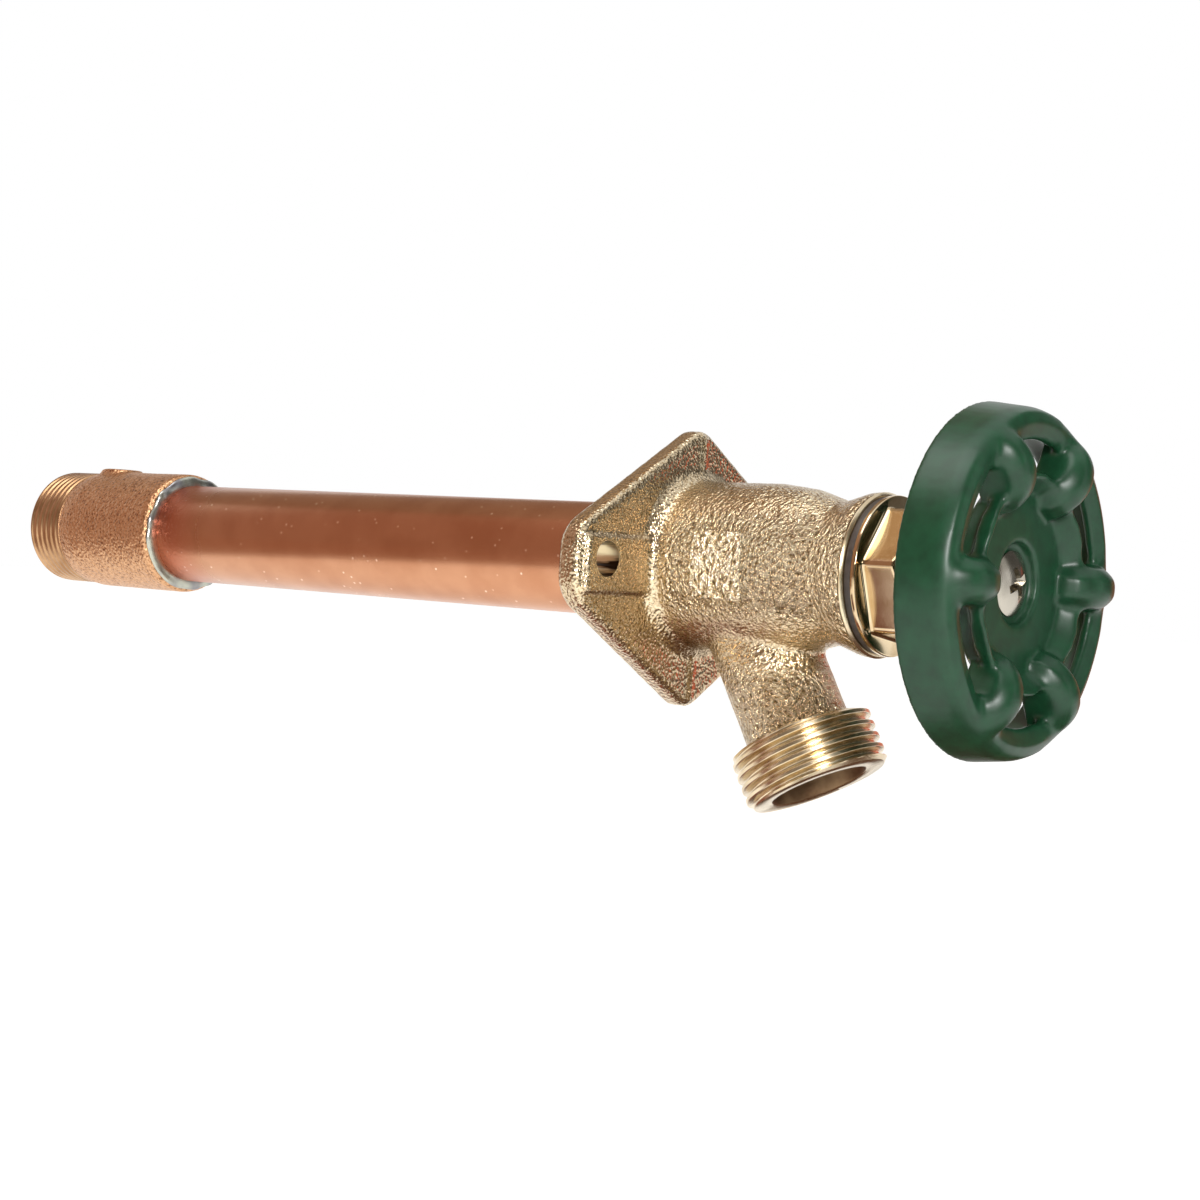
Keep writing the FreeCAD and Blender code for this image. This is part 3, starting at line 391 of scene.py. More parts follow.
def sandCast(name, finish):
    material, tree, surface, place = newMaterial(name)
    grain = addNode(tree, "ShaderNodeTexNoise",
                    {"Scale": perSize(finish["grain"]), "Detail": 2.0, "Roughness": 0.55}, {"Vector": place})
    fine = addNode(tree, "ShaderNodeTexNoise",
                   {"Scale": perSize(finish["fine"]), "Detail": 3.0, "Roughness": 0.6}, {"Vector": place})
    lump = addNode(tree, "ShaderNodeTexNoise", {"Scale": perSize(finish["lump"]), "Detail": 4.0},
                   {"Vector": place})
    parts = addNode(tree, "ShaderNodeSeparateXYZ", None, {0: place})
    offFlange = {"From Min": -finish["flangeEnd"] * mm,
                 "From Max": -(finish["flangeEnd"] + finish["flangeFade"]) * mm}
    region = addNode(tree, "ShaderNodeMapRange", offFlange, {"Value": parts.outputs["Y"]})
    height = addNode(tree, "ShaderNodeMath", {"operation": "ABSOLUTE"}, {0: parts.outputs["Z"]})
    (bandStart, bandEnd), (spoutStart, spoutEnd) = finish["band"], finish["spout"]
    inBand = {"From Min": bandStart * mm, "From Max": bandEnd * mm, "To Min": 1.0,
              "To Max": finish["outsideBand"]}
    onSpout = {"From Min": spoutStart * mm, "From Max": spoutEnd * mm, "To Max": finish["onSpout"]}
    above = addNode(tree, "ShaderNodeMapRange", inBand, {"Value": height.outputs[0]})
    below = addNode(tree, "ShaderNodeMapRange", onSpout, {"Value": height.outputs[0]})
    band = addNode(tree, "ShaderNodeMath", {"operation": "ADD"}, {0: above.outputs[0], 1: below.outputs[0]})
    coarse = addNode(tree, "ShaderNodeMath", {"operation": "MULTIPLY"},
                     {0: region.outputs[0], 1: band.outputs[0]})
    pits = addNode(tree, "ShaderNodeMix", {"data_type": "FLOAT"},
                   {0: coarse.outputs[0], 2: fine.outputs[0], 3: grain.outputs[0]})
    both = addNode(tree, "ShaderNodeMix", {0: finish["lumpShare"], "data_type": "FLOAT"},
                   {2: pits.outputs[0], 3: lump.outputs[0]})
    # painted highlight: the tint is lifted a little in the coarse band
    paintedSheen = addNode(tree, "ShaderNodeMath", {"operation": "MULTIPLY_ADD", 1: finish["paintedSheen"]},
                     {0: coarse.outputs[0], 2: both.outputs[0]})
    tint = addNode(tree, "ShaderNodeValToRGB",
                   {"stops": [(0.37, finish["dark"]), (0.45, finish["mid"]), (0.6, finish["light"])]},
                   {0: paintedSheen.outputs[0]})
    pebble = addNode(tree, "ShaderNodeTexVoronoi",
                     {"feature": "SMOOTH_F1", "Scale": perSize(finish["fine"] * finish["pebble"])},
                     {"Vector": place})
    fineBump = addNode(tree, "ShaderNodeBump", {"Distance": finish["fineDepth"] * mm, "Strength": 1.0},
                       {"Height": pebble.outputs["Distance"]})
    bump = addNode(tree, "ShaderNodeBump", {"Distance": finish["depth"] * mm},
                   {"Height": grain.outputs[0], "Normal": fineBump.outputs[0], "Strength": coarse.outputs[0]})
    tree.links.new(tint.outputs[0], surface.inputs["Base Color"])
    tree.links.new(bump.outputs[0], surface.inputs["Normal"])
    surface.inputs["Metallic"].default_value = 1.0
    surface.inputs["Roughness"].default_value = finish["roughness"]
    return material


castBrassSand = sandCast("castBrassSand", castBrass)
castBrassRaised = sandCast("castBrassRaised", raisedBrass)
castBronzeSand = sandCast("castBronzeSand", castBronze)


def turnedMetal(name, color, dark, roughness, ridge):  # fine lathe marks and a little tarnish
    material, tree, surface, place = newMaterial(name)
    stain = addNode(tree, "ShaderNodeTexNoise", {"Scale": perSize(6), "Detail": 5.0}, {"Vector": place})
    tint = addNode(tree, "ShaderNodeValToRGB", {"stops": [(0.35, dark), (0.6, color)]}, {0: stain.outputs[0]})
    marks = addNode(tree, "ShaderNodeTexWave",
                    {"Scale": perSize(ridge), "bands_direction": "Y", "Distortion": 0.4}, {"Vector": place})
    bump = addNode(tree, "ShaderNodeBump", {"Distance": 0.004 * mm, "Strength": 0.6},
                   {"Height": marks.outputs[1]})
    tree.links.new(tint.outputs[0], surface.inputs["Base Color"])
    tree.links.new(bump.outputs[0], surface.inputs["Normal"])
    surface.inputs["Metallic"].default_value = 1.0
    surface.inputs["Roughness"].default_value = roughness
    return material


# The screw holes' walls: bright and dark streaks along the hole, a painted reflection of the surroundings in the
# drilled wall
holeReflectionStreaks = {
    "light": "#DCCBA4", "dark": "#2C2014", "streak": 2.6, "stretch": 0.15, "depth": 0.05, "roughness": 0.3,
}


def paintReflectionStreaks(name, finish):  # painted reflection: bright and dark streaks stretched along the hole's axis
    material, tree, surface, place = newMaterial(name)
    stretch = addNode(tree, "ShaderNodeMapping", {"Scale": (1, finish["stretch"], 1)}, {"Vector": place})
    streak = addNode(tree, "ShaderNodeTexNoise", {"Scale": perSize(finish["streak"]), "Detail": 3.0},
                     {"Vector": stretch.outputs[0]})
    tint = addNode(tree, "ShaderNodeValToRGB", {"stops": [(0.46, finish["dark"]), (0.53, finish["light"])]},
                   {0: streak.outputs[0]})
    bump = addNode(tree, "ShaderNodeBump", {"Distance": finish["depth"] * mm}, {"Height": streak.outputs[0]})
    tree.links.new(tint.outputs[0], surface.inputs["Base Color"])
    tree.links.new(bump.outputs[0], surface.inputs["Normal"])
    surface.inputs["Metallic"].default_value = 1.0
    surface.inputs["Roughness"].default_value = finish["roughness"]
    return material


# painted reflection streaks for the screw holes' walls
drilledBrassPaintedReflection = paintReflectionStreaks("drilledBrassPaintedReflection", holeReflectionStreaks)
turnedBrass = turnedMetal("turnedBrass", "#E2D2B4", "#CCB896", 0.24, 0.5)
# painted shade: a dark brass for the inside of the hose bore
boreShadeBrass = turnedMetal("boredBrassPaintedShade", "#8A7054", "#5E4733", 0.5, 0.5)
turnedBronze = turnedMetal("turnedBronze", "#C8A078", "#A47C58", 0.32, 0.5)
platedBrass = turnedMetal("platedBrassPolished", "#D8C4A2", "#C2A882", 0.11, 0.5)
silverSolder = turnedMetal("silverSolderFlowed", "#C0C2B2", "#8C8A8E", 0.28, 1.0)
nickelPlate = turnedMetal("nickelPlatedSteel", "#B8B2A6", "#8E887C", 0.2, 0.5)
stainlessWire = turnedMetal("stainlessWireDrawn", "#C4C4C2", "#A2A2A0", 0.25, 0.4)

# Drawn copper: satin from the die, with faint draw lines, small light pits, and a red rough bloom where it was
# heated for soldering. Sizes and places are in mm
copperFinish = {
    "clean": "#C89270", "dull": "#BE8664", "pit": "#F2D6BE", "heated": "#BA5436", "roughness": 0.27,
    "heatedRoughness": 0.2, "heatedFrom": 129.0, "heatedTo": 144.0, "heatedWander": 6, "cloud": 9,
    "line": 0.5, "lineStretch": 0.04, "lineDepth": 0.01, "pitSpacing": 2.6, "blister": 0.9, "blisterDepth": 0.22,
}


def drawnMetal(name, finish):
    material, tree, surface, place = newMaterial(name)
    stretch = addNode(tree, "ShaderNodeMapping", {"Scale": (1, finish["lineStretch"], 1)}, {"Vector": place})
    lines = addNode(tree, "ShaderNodeTexNoise", {"Scale": perSize(finish["line"]), "Detail": 2.0},
                    {"Vector": stretch.outputs[0]})
    cloud = addNode(tree, "ShaderNodeTexNoise", {"Scale": perSize(finish["cloud"]), "Detail": 5.0},
                    {"Vector": place})
    tint = addNode(tree, "ShaderNodeValToRGB", {"stops": [(0.35, finish["dull"]), (0.6, finish["clean"])]},
                   {0: cloud.outputs[0]})
    specks = addNode(tree, "ShaderNodeTexVoronoi", {"Scale": perSize(finish["pitSpacing"])},
                     {"Vector": place})
    spot = addNode(tree, "ShaderNodeMapRange", {"From Min": 0.13, "From Max": 0.07, "To Max": 0.8},
                   {"Value": specks.outputs["Distance"]})
    pitted = addNode(tree, "ShaderNodeMix", {"data_type": "RGBA", 7: hexColor(finish["pit"])},
                     {0: spot.outputs[0], 6: tint.outputs[0]})
    along = addNode(tree, "ShaderNodeSeparateXYZ", None, {0: place}).outputs["Y"]
    wander = addNode(tree, "ShaderNodeMath", {"operation": "MULTIPLY_ADD", 1: finish["heatedWander"] * mm},
                     {0: cloud.outputs[0], 2: along})
    heatRange = {"From Min": finish["heatedFrom"] * mm, "From Max": finish["heatedTo"] * mm, "To Max": 0.8}
    heat = addNode(tree, "ShaderNodeMapRange", heatRange, {"Value": wander.outputs[0]})
    bloomed = addNode(tree, "ShaderNodeMix", {"data_type": "RGBA", 7: hexColor(finish["heated"])},
                      {0: heat.outputs[0], 6: pitted.outputs[2]})
    rough = addNode(tree, "ShaderNodeMapRange",
                    {"To Min": finish["roughness"], "To Max": finish["roughness"] + finish["heatedRoughness"]},
                    {"Value": heat.outputs[0]})
    bump = addNode(tree, "ShaderNodeBump", {"Distance": finish["lineDepth"] * mm, "Strength": 0.5},
                   {"Height": lines.outputs[0]})
    scale = addNode(tree, "ShaderNodeTexNoise", {"Scale": perSize(finish["blister"]), "Detail": 3.0},
                    {"Vector": place})
    blister = addNode(tree, "ShaderNodeBump", {"Distance": finish["blisterDepth"] * mm},
                      {"Height": scale.outputs[0], "Normal": bump.outputs[0], "Strength": heat.outputs[0]})
    tree.links.new(bloomed.outputs[2], surface.inputs["Base Color"])
    tree.links.new(rough.outputs[0], surface.inputs["Roughness"])
    tree.links.new(blister.outputs[0], surface.inputs["Normal"])
    surface.inputs["Metallic"].default_value = 1.0
    return material


drawnCopper = drawnMetal("drawnCopper", copperFinish)


def plainPolymer(name, color, dark, roughness, size=1.5, depth=0.01):
    material, tree, surface, place = newMaterial(name)
    cloud = addNode(tree, "ShaderNodeTexNoise", {"Scale": perSize(size), "Detail": 4.0}, {"Vector": place})
    tint = addNode(tree, "ShaderNodeValToRGB", {"stops": [(0.3, dark), (0.7, color)]}, {0: cloud.outputs[0]})
    bump = addNode(tree, "ShaderNodeBump", {"Distance": depth * mm, "Strength": 0.5},
                   {"Height": cloud.outputs[0]})
    tree.links.new(tint.outputs[0], surface.inputs["Base Color"])
    tree.links.new(bump.outputs[0], surface.inputs["Normal"])
    surface.inputs["Roughness"].default_value = roughness
    return material


rubber = plainPolymer("mouldedRubber", "#4A413B", "#2E2824", 0.45)
graphite = plainPolymer("graphitePacking", "#3A3A3C", "#232325", 0.6)
nylon = plainPolymer("mouldedNylon", "#E6DFCB", "#D2CAB4", 0.4)
greenEnamel = plainPolymer("greenEnamel", "#123F26", "#0D321D", 0.36, 3.0, 0.03)
greenEnamel.node_tree.nodes["Principled BSDF"].inputs["Specular IOR Level"].default_value = 0.4

nodeMaterials = {
    "casing_tube": drawnCopper,
    "inlet_fitting": castBronzeSand,
    "inlet_solder_ring": silverSolder,
    "head_solder_ring": silverSolder,
    "head_casting": castBrassSand,
    "bonnet_gasket": rubber,
    "bonnet": platedBrass,
    "handwheel": greenEnamel,
    "handle_screw": nickelPlate,
    "packing_nut": platedBrass,
    "packing_gland": turnedBrass,
    "stem_packing": graphite,
    "packing_washer": turnedBrass,
    "stem": turnedBrass,
    "rod_pin": stainlessWire,
    "operating_rod": turnedBrass,
    "rod_guide": nylon,
    "seat_disc": turnedBrass,
    "seat_washer": rubber,
    "seat_washer_screw": turnedBrass,
    "float_stop_ring": turnedBrass,
    "breaker_float": rubber,
    "breaker_spring": stainlessWire,
}
for name, material in nodeMaterials.items():
    nodes[name].data.materials.clear()
    nodes[name].data.materials.append(material)
print("materials on", len(nodeMaterials), "nodes")

# Places that several pieces share, in mm out from the wall along the axis, as the CAD has them
places = {
    "spoutStart": 13.5, "spoutTilt": 29.1, "spoutEnd": 44.2,
    "bonnetRim": 47.3, "bonnetHex": 48.4, "bonnetShoulder": 55.5, "bonnetFront": 62.5,
    "inletMouth": -141.6, "threadShoulder": -174.3, "inletEnd": -186.0,
    "recessFloor": 70.2,
}
tilt = math.radians(places["spoutTilt"])
spoutAxis = np.array((0, -math.sin(tilt), -math.cos(tilt)))
spoutOrigin = np.array((0, -places["spoutStart"], 0))


def spoutPlace(points):  # distance along the spout's line and out from it
    offset = points - spoutOrigin
    along = offset @ spoutAxis
    return along, np.linalg.norm(offset - along[:, None] * spoutAxis, axis=1)


# Head: the mould and the tumbling leave round edges, wide blends and a lumpy skin. Pairs are the start and end
# of a ramp, "worm" is the coarse curly grain, and "badge" the raised square
headShape = {
    "voxel": 0.36, "rounds": 5,
    "blendRounds": 26, "blendReach": 2.6, "neckRadius": 9.9, "barrelRadius": 15.8,
    "boreRadius": 12.5, "neckWall": 8.8,
    "flareRounds": 10, "flareOut": ((4.2, 5.2), (7.5, 9)), "flareRadius": ((14.5, 15.5), (19, 21)),
    "lump": 5.0, "lumpHeight": 0.10, "dimple": 1.5, "dimpleHeight": 0.07,
    "worm": 1.7, "wormHeight": 0.26, "wormBand": (7, 11), "wormOut": (9, 13), "wormSide": (-4, 4),
    "wormBelow": -18,
    "holeSpacing": 57.15, "holeRadius": 3.25, "plugRadius": 3.7, "padFace": 5.95, "drillSides": 96,
    "badgeBack": 14.5, "badgeFront": 25.5, "badgeHalf": 6.3, "badgeRise": 0.5, "badgeRamp": 0.36,
    "edgeAt": 0.6, "edgeWidth": 0.4, "edgeHeight": 0.15, "grooveDepth": 0.12,
    "taperFrom": 24, "taperLength": 7, "taperDrop": 0.8,
    "skin": (11, 12.4), "spoutFrom": 12, "neckFrom": 20, "neckSkin": (9.0, 9.4), "spoutBore": 9.3,
    "spoutCut": 33.9, "collarCut": 45.35,
}


def barPoints(center, radius, back, front, segments=48):  # a round bar across the flange, both ends closed
    turns = [2 * math.pi * i / segments for i in range(segments)]
    rings = [[(center + radius * math.cos(a), -t, radius * math.sin(a)) for a in turns] for t in (back, front)]
    faces = [(i, (i + 1) % segments, segments + (i + 1) % segments, segments + i)
             for i in range(segments)]
    faces += [tuple(range(segments - 1, -1, -1)), tuple(range(segments, 2 * segments))]
    return [tuple(c * mm for c in point) for ring in rings for point in ring], faces


def cutHoles(piece, shape):  # drilled after casting, so their edges are sharp
    for side in (-1, 1):
        center = side * shape["holeSpacing"] / 2
        drill = meshObject("drill", *barPoints(center, shape["holeRadius"], -2, 9, shape["drillSides"]), False)
        cutAway(piece, drill, "MANIFOLD")


def badgeRadius(shape, out, across):  # the barrel's own radius there, with the square raised on it
    ramp = shape["badgeRamp"]
    inside = np.minimum(np.minimum(out - shape["badgeBack"], shape["badgeFront"] - out),
                        shape["badgeHalf"] - np.abs(across))
    edge = np.exp(-((inside - shape["edgeAt"]) / shape["edgeWidth"]) ** 2) * shape["edgeHeight"]
    groove = np.exp(-((inside + shape["edgeAt"]) / shape["edgeWidth"]) ** 2) * shape["grooveDepth"]
    taper = np.clip((out - shape["taperFrom"]) / shape["taperLength"], 0, 1) * shape["taperDrop"]
    barrel = shape["barrelRadius"] - taper
    return barrel + (shape["badgeRise"] + edge) * easeBetween(inside, -ramp / 2, ramp / 2) - groove, inside


# Rounds the edges, the spout's root and the flange's root, then raises the square
def blendHead(head, shape):
    points = relax(head.data, readPoints(head.data), shape["rounds"], 0.5)
    radius = np.hypot(points[:, 0], points[:, 2])
    out = -points[:, 1]
    along, across = spoutPlace(points)
    near = ((radius - shape["barrelRadius"]) ** 2
            + (across - shape["neckRadius"]) ** 2) / shape["blendReach"] ** 2
    outside = (radius > shape["boreRadius"]) & (across > shape["neckWall"]) & (points[:, 2] < 0)
    flare = upAndDown(out, *shape["flareOut"]) * upAndDown(radius, *shape["flareRadius"])
    points = relax(head.data, points, shape["blendRounds"], 0.5 * np.exp(-near) * outside)
    points = relax(head.data, points, shape["flareRounds"], 0.5 * flare)
    radius = np.hypot(points[:, 0], points[:, 2])
    sideways = np.arctan2(points[:, 2], -points[:, 0]) * shape["barrelRadius"]
    target, inside = badgeRadius(shape, -points[:, 1], sideways)
    onBadge = easeBetween(inside, -1.6, -0.8) * (radius > 13.5) * (np.abs(sideways) < 12)
    scale = 1 + onBadge * (target / radius - 1)
    points[:, 0] *= scale
    points[:, 2] *= scale
    writePoints(head.data, points)
    return points, radius, inside


def roughenHead(head, shape, points, radius, inside):  # the skin of the mould, but not on the turned faces
    out, height = -points[:, 1], points[:, 2]
    along, across = spoutPlace(points)
    onNeck, inBore = along > shape["neckFrom"], across < shape["spoutBore"]
    skin = easeBetween(np.maximum(radius, across * (along > shape["spoutFrom"])), *shape["skin"])
    skin = np.where(onNeck, easeBetween(across, *shape["neckSkin"]), skin)
    skin = np.where(onNeck & inBore, 0, skin)
    lumps = dents(points, shape["lump"], shape["lumpHeight"], 3)
    dimples = dents(points, shape["dimple"], shape["dimpleHeight"], 11)
    worms = -np.clip(np.abs(unevenness(points, shape["worm"], 23)) * 3, 0, 1) * shape["wormHeight"]
    band = 1 - easeBetween(np.abs(height), *shape["wormBand"])
    wormy = 0.15 + 0.85 * band + 0.5 * (height < shape["wormBelow"])
    wormy = wormy * easeBetween(out, *shape["wormOut"]) * easeBetween(-points[:, 0], *shape["wormSide"])
    wormy = wormy * (0.3 + 0.7 * easeBetween(inside, 0.6, 1.2)) * (1 - 0.8 * np.exp(-(inside / 0.8) ** 2))
    points = points + readNormals(head.data) * ((lumps + dimples + worms * wormy) * skin)[:, None]
    points[points[:, 1] > -0.2, 1] = 0  # the back face is flat on the wall
    writePoints(head.data, points)


def buildHead(shape):
    plugs = [barPoints(side * shape["holeSpacing"] / 2, shape["plugRadius"], 0.3, shape["padFace"])
             for side in (-1, 1)]
    head = remeshNode("head_casting", "headCasting", shape["voxel"], plugs)
    roughenHead(head, shape, *blendHead(head, shape))
    cutHoles(head, shape)
    points = readPoints(head.data)
    along, across = spoutPlace(points)
    keepPart(head.data, ((along < shape["spoutCut"]) | (across > 15)) & (-points[:, 1] < shape["collarCut"]))
    for polygon in head.data.polygons:
        x, y, z = polygon.center / mm
        fromHole = math.hypot(abs(x) - shape["holeSpacing"] / 2, z)
        onSquare = (abs(z) < shape["badgeHalf"] - 0.1
                    and shape["badgeBack"] + 0.1 < -y < shape["badgeFront"] - 0.1)
        # the holes' walls take the painted reflection streaks
        if abs(fromHole - shape["holeRadius"]) < 0.03:
            polygon.material_index = 1
        # the raised square takes the lighter brass, a painted highlight
        elif x < -12 and onSquare:
            polygon.material_index = 2
    head.data.set_sharp_from_angle(angle=math.radians(62))
    return head


head = buildHead(headShape)
settle(head, [castBrassSand, drilledBrassPaintedReflection, castBrassRaised], "valve_body", "cast_brass", "head_casting")
print("head cast:", len(head.data.vertices), "points")

# Collar: the casting's front, faced and chamfered on the lathe, so only these are bright
collarShape = {
    "outline": [(44.6, 10.55), (44.6, 14.1), (45.3, 14.68), (45.55, 14.8), (46.0, 14.35), (46.0, 10.55)],
    "ease": 0.06,
}
collar = latheObject("turnedCollar", easeCorners(collarShape["outline"], collarShape["ease"]), 192, 25)
settle(collar, [turnedBrass], "valve_body", "cast_brass", "head_casting")

# Hose thread: 3/4 in garden hose, 11.5 turns to the inch
hoseThread = {
    "pitch": 2.209, "crest": 13.45, "root": 12.25, "crestFlat": 0.30, "rootFlat": 0.16,
    "start": 33.4, "neck": 9.6, "shoulder": 1.0, "chamfer": 1.0,
    "bore": 8.9, "boreDepth": 11.4, "waterway": 7.6, "mouthEase": 0.4, "segments": 240, "rows": 150,
}


def threadRadius(thread, distance, turn, start):  # a rounded ridge that climbs one pitch for each turn
    phase = ((distance - start) / thread["pitch"] - turn) % 1
    ridge = 1 - abs(2 * phase - 1)
    height = np.clip((ridge - thread["rootFlat"]) / (1 - thread["rootFlat"] - thread["crestFlat"]), 0, 1)
    height = 0.4 * height + 0.6 * height * height * (3 - 2 * height)
    return thread["root"] + (thread["crest"] - thread["root"]) * height


def threadRing(thread, distance, start, cap):  # the thread's ridge, cut off at a radius
    return lambda turns: np.minimum(threadRadius(thread, distance, turns, start), cap)


# rings: a closed loop of (distance, radius for each turn)
def threadedObject(name, rings, place, segments):
    turns = np.arange(segments) / segments
    vertices = [place(np.full(segments, distance), radii(turns), turns * 2 * np.pi) for distance, radii in rings]
    piece = meshObject(name, np.concatenate(vertices) * mm, ringFaces(len(rings), segments))
    faceOutward(piece)
    piece.data.set_sharp_from_angle(angle=math.radians(50))
    return piece


def paintShadeInside(piece, row, segments):  # the rings from this one on take the second material, a dark brass that is painted shade inside the bore
    for polygon in piece.data.polygons[row * segments:]:
        polygon.material_index = 1


def aroundSpout(distance, radius, angle):
    side, down = np.array((1, 0, 0)), np.cross(spoutAxis, (1, 0, 0))
    outward = np.cos(angle)[:, None] * side + np.sin(angle)[:, None] * down
    return spoutOrigin + distance[:, None] * spoutAxis + radius[:, None] * outward


def aroundTube(distance, radius, angle):
    return np.stack([radius * np.cos(angle), -distance, radius * np.sin(angle)], axis=1)


def steady(radius):
    return lambda turns: np.full(len(turns), radius)


def buildHoseThread(thread):
    start, end = thread["start"], places["spoutEnd"]
    rings = []
    for distance in np.linspace(start, end, thread["rows"]):
        shoulder = thread["neck"] + (distance - start) * (thread["crest"] - thread["neck"]) / thread["shoulder"]
        chamfer = thread["crest"] - max(0, distance - end + thread["chamfer"])
        rings.append((distance, threadRing(thread, distance, start, min(shoulder, chamfer))))
    ease, bore, floor = thread["mouthEase"], thread["bore"], end - thread["boreDepth"]
    for distance, radius in ((end, bore + ease), (end - ease / 3, bore + ease / 3), (end - ease, bore),
                             (floor, bore), (floor, thread["waterway"] - 0.1)):
        rings.append((distance, steady(radius)))
    hose = threadedObject("hoseThread", rings, aroundSpout, thread["segments"])
    # the bore inside the spout takes the dark brass, painted shade
    paintShadeInside(hose, thread["rows"] + 1, thread["segments"])
    return hose


hose = buildHoseThread(hoseThread)
settle(hose, [turnedBrass, boreShadeBrass], "valve_body", "cast_brass", "head_casting")
print("collar and hose thread turned")

# Casing tube: drawn copper
tubeShape = {"outer": 11.1125, "inner": 10.3, "far": -154.6, "near": 12.0, "edge": 0.15, "segments": 256}
tubeOutline = [(tubeShape[end], tubeShape[side])
               for end, side in (("far", "inner"), ("far", "outer"), ("near", "outer"), ("near", "inner"))]
tube = latheObject("casingTube", easeCorners(tubeOutline, tubeShape["edge"]), tubeShape["segments"])
settle(tube, [drawnCopper], "valve_body", "copper", "casing_tube")

# Inlet: sand-cast bronze, its pipe thread cut last
inletShape = {
    "voxel": 0.36, "rounds": 10, "lump": 6.0, "lumpHeight": 0.14, "dimple": 1.7, "dimpleHeight": 0.07,
    "skin": (12.3, 13.0), "threadCut": -174.9, "fadeLength": 5, "fadeDepth": 0.45, "fadeRadius": 12.4,
}
pipeThread = {
    "pitch": 1.814, "crest": 13.3, "root": 12.98, "crestFlat": 0.35, "rootFlat": 0.1, "edge": 0.9,
    "bore": 8.0, "boreDepth": 12.7, "waterway": 5.5, "segments": 240, "rows": 130,
}


def buildInlet(shape):
    inlet = remeshNode("inlet_fitting", "inletCasting", shape["voxel"])
    points = relax(inlet.data, readPoints(inlet.data), shape["rounds"], 0.5)
    writePoints(inlet.data, points)
    radius = np.hypot(points[:, 0], points[:, 2])
    shoulder = -places["threadShoulder"]
    runOut = easeBetween(points[:, 1], shoulder - shape["fadeLength"], shoulder + 0.3) * shape["fadeDepth"]
    runOut = np.where(radius > shape["fadeRadius"], runOut, 0)  # the body fades into the thread
    points[:, 0] -= points[:, 0] / radius * runOut
    points[:, 2] -= points[:, 2] / radius * runOut
    writePoints(inlet.data, points)
    lumps = dents(points, shape["lump"], shape["lumpHeight"], 5)
    dimples = dents(points, shape["dimple"], shape["dimpleHeight"], 17)
    skin = easeBetween(radius, *shape["skin"])
    points = points + readNormals(inlet.data) * ((lumps + dimples) * skin)[:, None]
    writePoints(inlet.data, points)
    keepPart(inlet.data, -points[:, 1] > shape["threadCut"])
    return inlet


def buildPipeThread(thread):
    start, end = -places["threadShoulder"], -places["inletEnd"]
    rings = [(-start + 0.6, steady(thread["root"] - 0.8))]
    for distance in np.linspace(start, end, thread["rows"]):
        chamfer = thread["crest"] - max(0, (distance - end + thread["edge"]) * 0.7)
        rings.append((-distance, threadRing(thread, distance, start, chamfer)))
    bore, floor = thread["bore"], end - thread["boreDepth"]
    for distance, radius in ((end, bore + 0.3), (end - 0.3, bore), (floor, bore),
                             (floor, thread["waterway"]), (floor - 0.7, thread["waterway"])):
        rings.append((-distance, steady(radius)))
    return threadedObject("pipeThread", rings, aroundTube, thread["segments"])


inlet = buildInlet(inletShape)
settle(inlet, [castBronzeSand], "valve_body", "cast_bronze", "inlet_fitting")
pipe = buildPipeThread(pipeThread)
settle(pipe, [turnedBronze], "valve_body", "cast_bronze", "inlet_fitting")
print("inlet cast, pipe thread cut:", len(inlet.data.vertices), "points")

# Solder: a bead that ran round the joint and froze with an uneven edge
solderBead = {
    "tube": 11.12, "height": 2.7, "width": 1.0, "back": 0.3, "lean": 0.45, "roundness": 0.8,
    "wander": 0.3, "lump": 3.0, "edgeLump": 1.7, "edgeHeight": 0.1, "segments": 240, "rows": 24,
}


def buildSolder(name, face, direction, bead, seed):
    turns = np.arange(bead["segments"]) / bead["segments"] * 2 * np.pi
    vertices = []
    for row in range(bead["rows"]):
        u = row / (bead["rows"] - 1)
        arc = math.pi * u
        for angle in turns:
            ring = Vector((math.cos(angle), math.sin(angle), 0)) * 11.1 / bead["lump"]
            swell = 1 + bead["wander"] * noise.noise(ring + Vector((0, 0, seed)))
            edge = bead["wander"] * noise.noise(ring * bead["edgeLump"] + Vector((0, 0, seed + u * 0.8)))
            distance = -bead["back"] + (bead["back"] + bead["width"] * swell) * (1 - math.cos(arc)) / 2
            crown = bead["height"] * swell * math.sin(arc) ** bead["roundness"] * (1 - bead["lean"] * u)
            radius = bead["tube"] + crown + bead["edgeHeight"] * edge * math.sin(arc)
            vertices.append((radius * mm * math.cos(angle), -(face + direction * distance) * mm,
                             radius * mm * math.sin(angle)))
    piece = meshObject(name, vertices, ringFaces(bead["rows"], bead["segments"], False))
    faceOutward(piece)
    return piece


solder = buildSolder("inletSolder", places["inletMouth"], 1, solderBead, 1.0)
settle(solder, [silverSolder], "valve_body", "silver_solder", "inlet_solder_ring")
print("solder run")

# Bonnet: bar brass, turned, its hexagon milled, then plated and polished
bonnetShape = {
    "hexAcross": 22.2, "hexTurn": 21.0, "cornerEase": 0.3, "rim": 14.3, "rimEdge": 0.35,
    "skirt": 10.5, "skirtBack": 34.75, "nose": 7.2, "bore": 5.6, "segments": 240, "hexRows": 26,
}


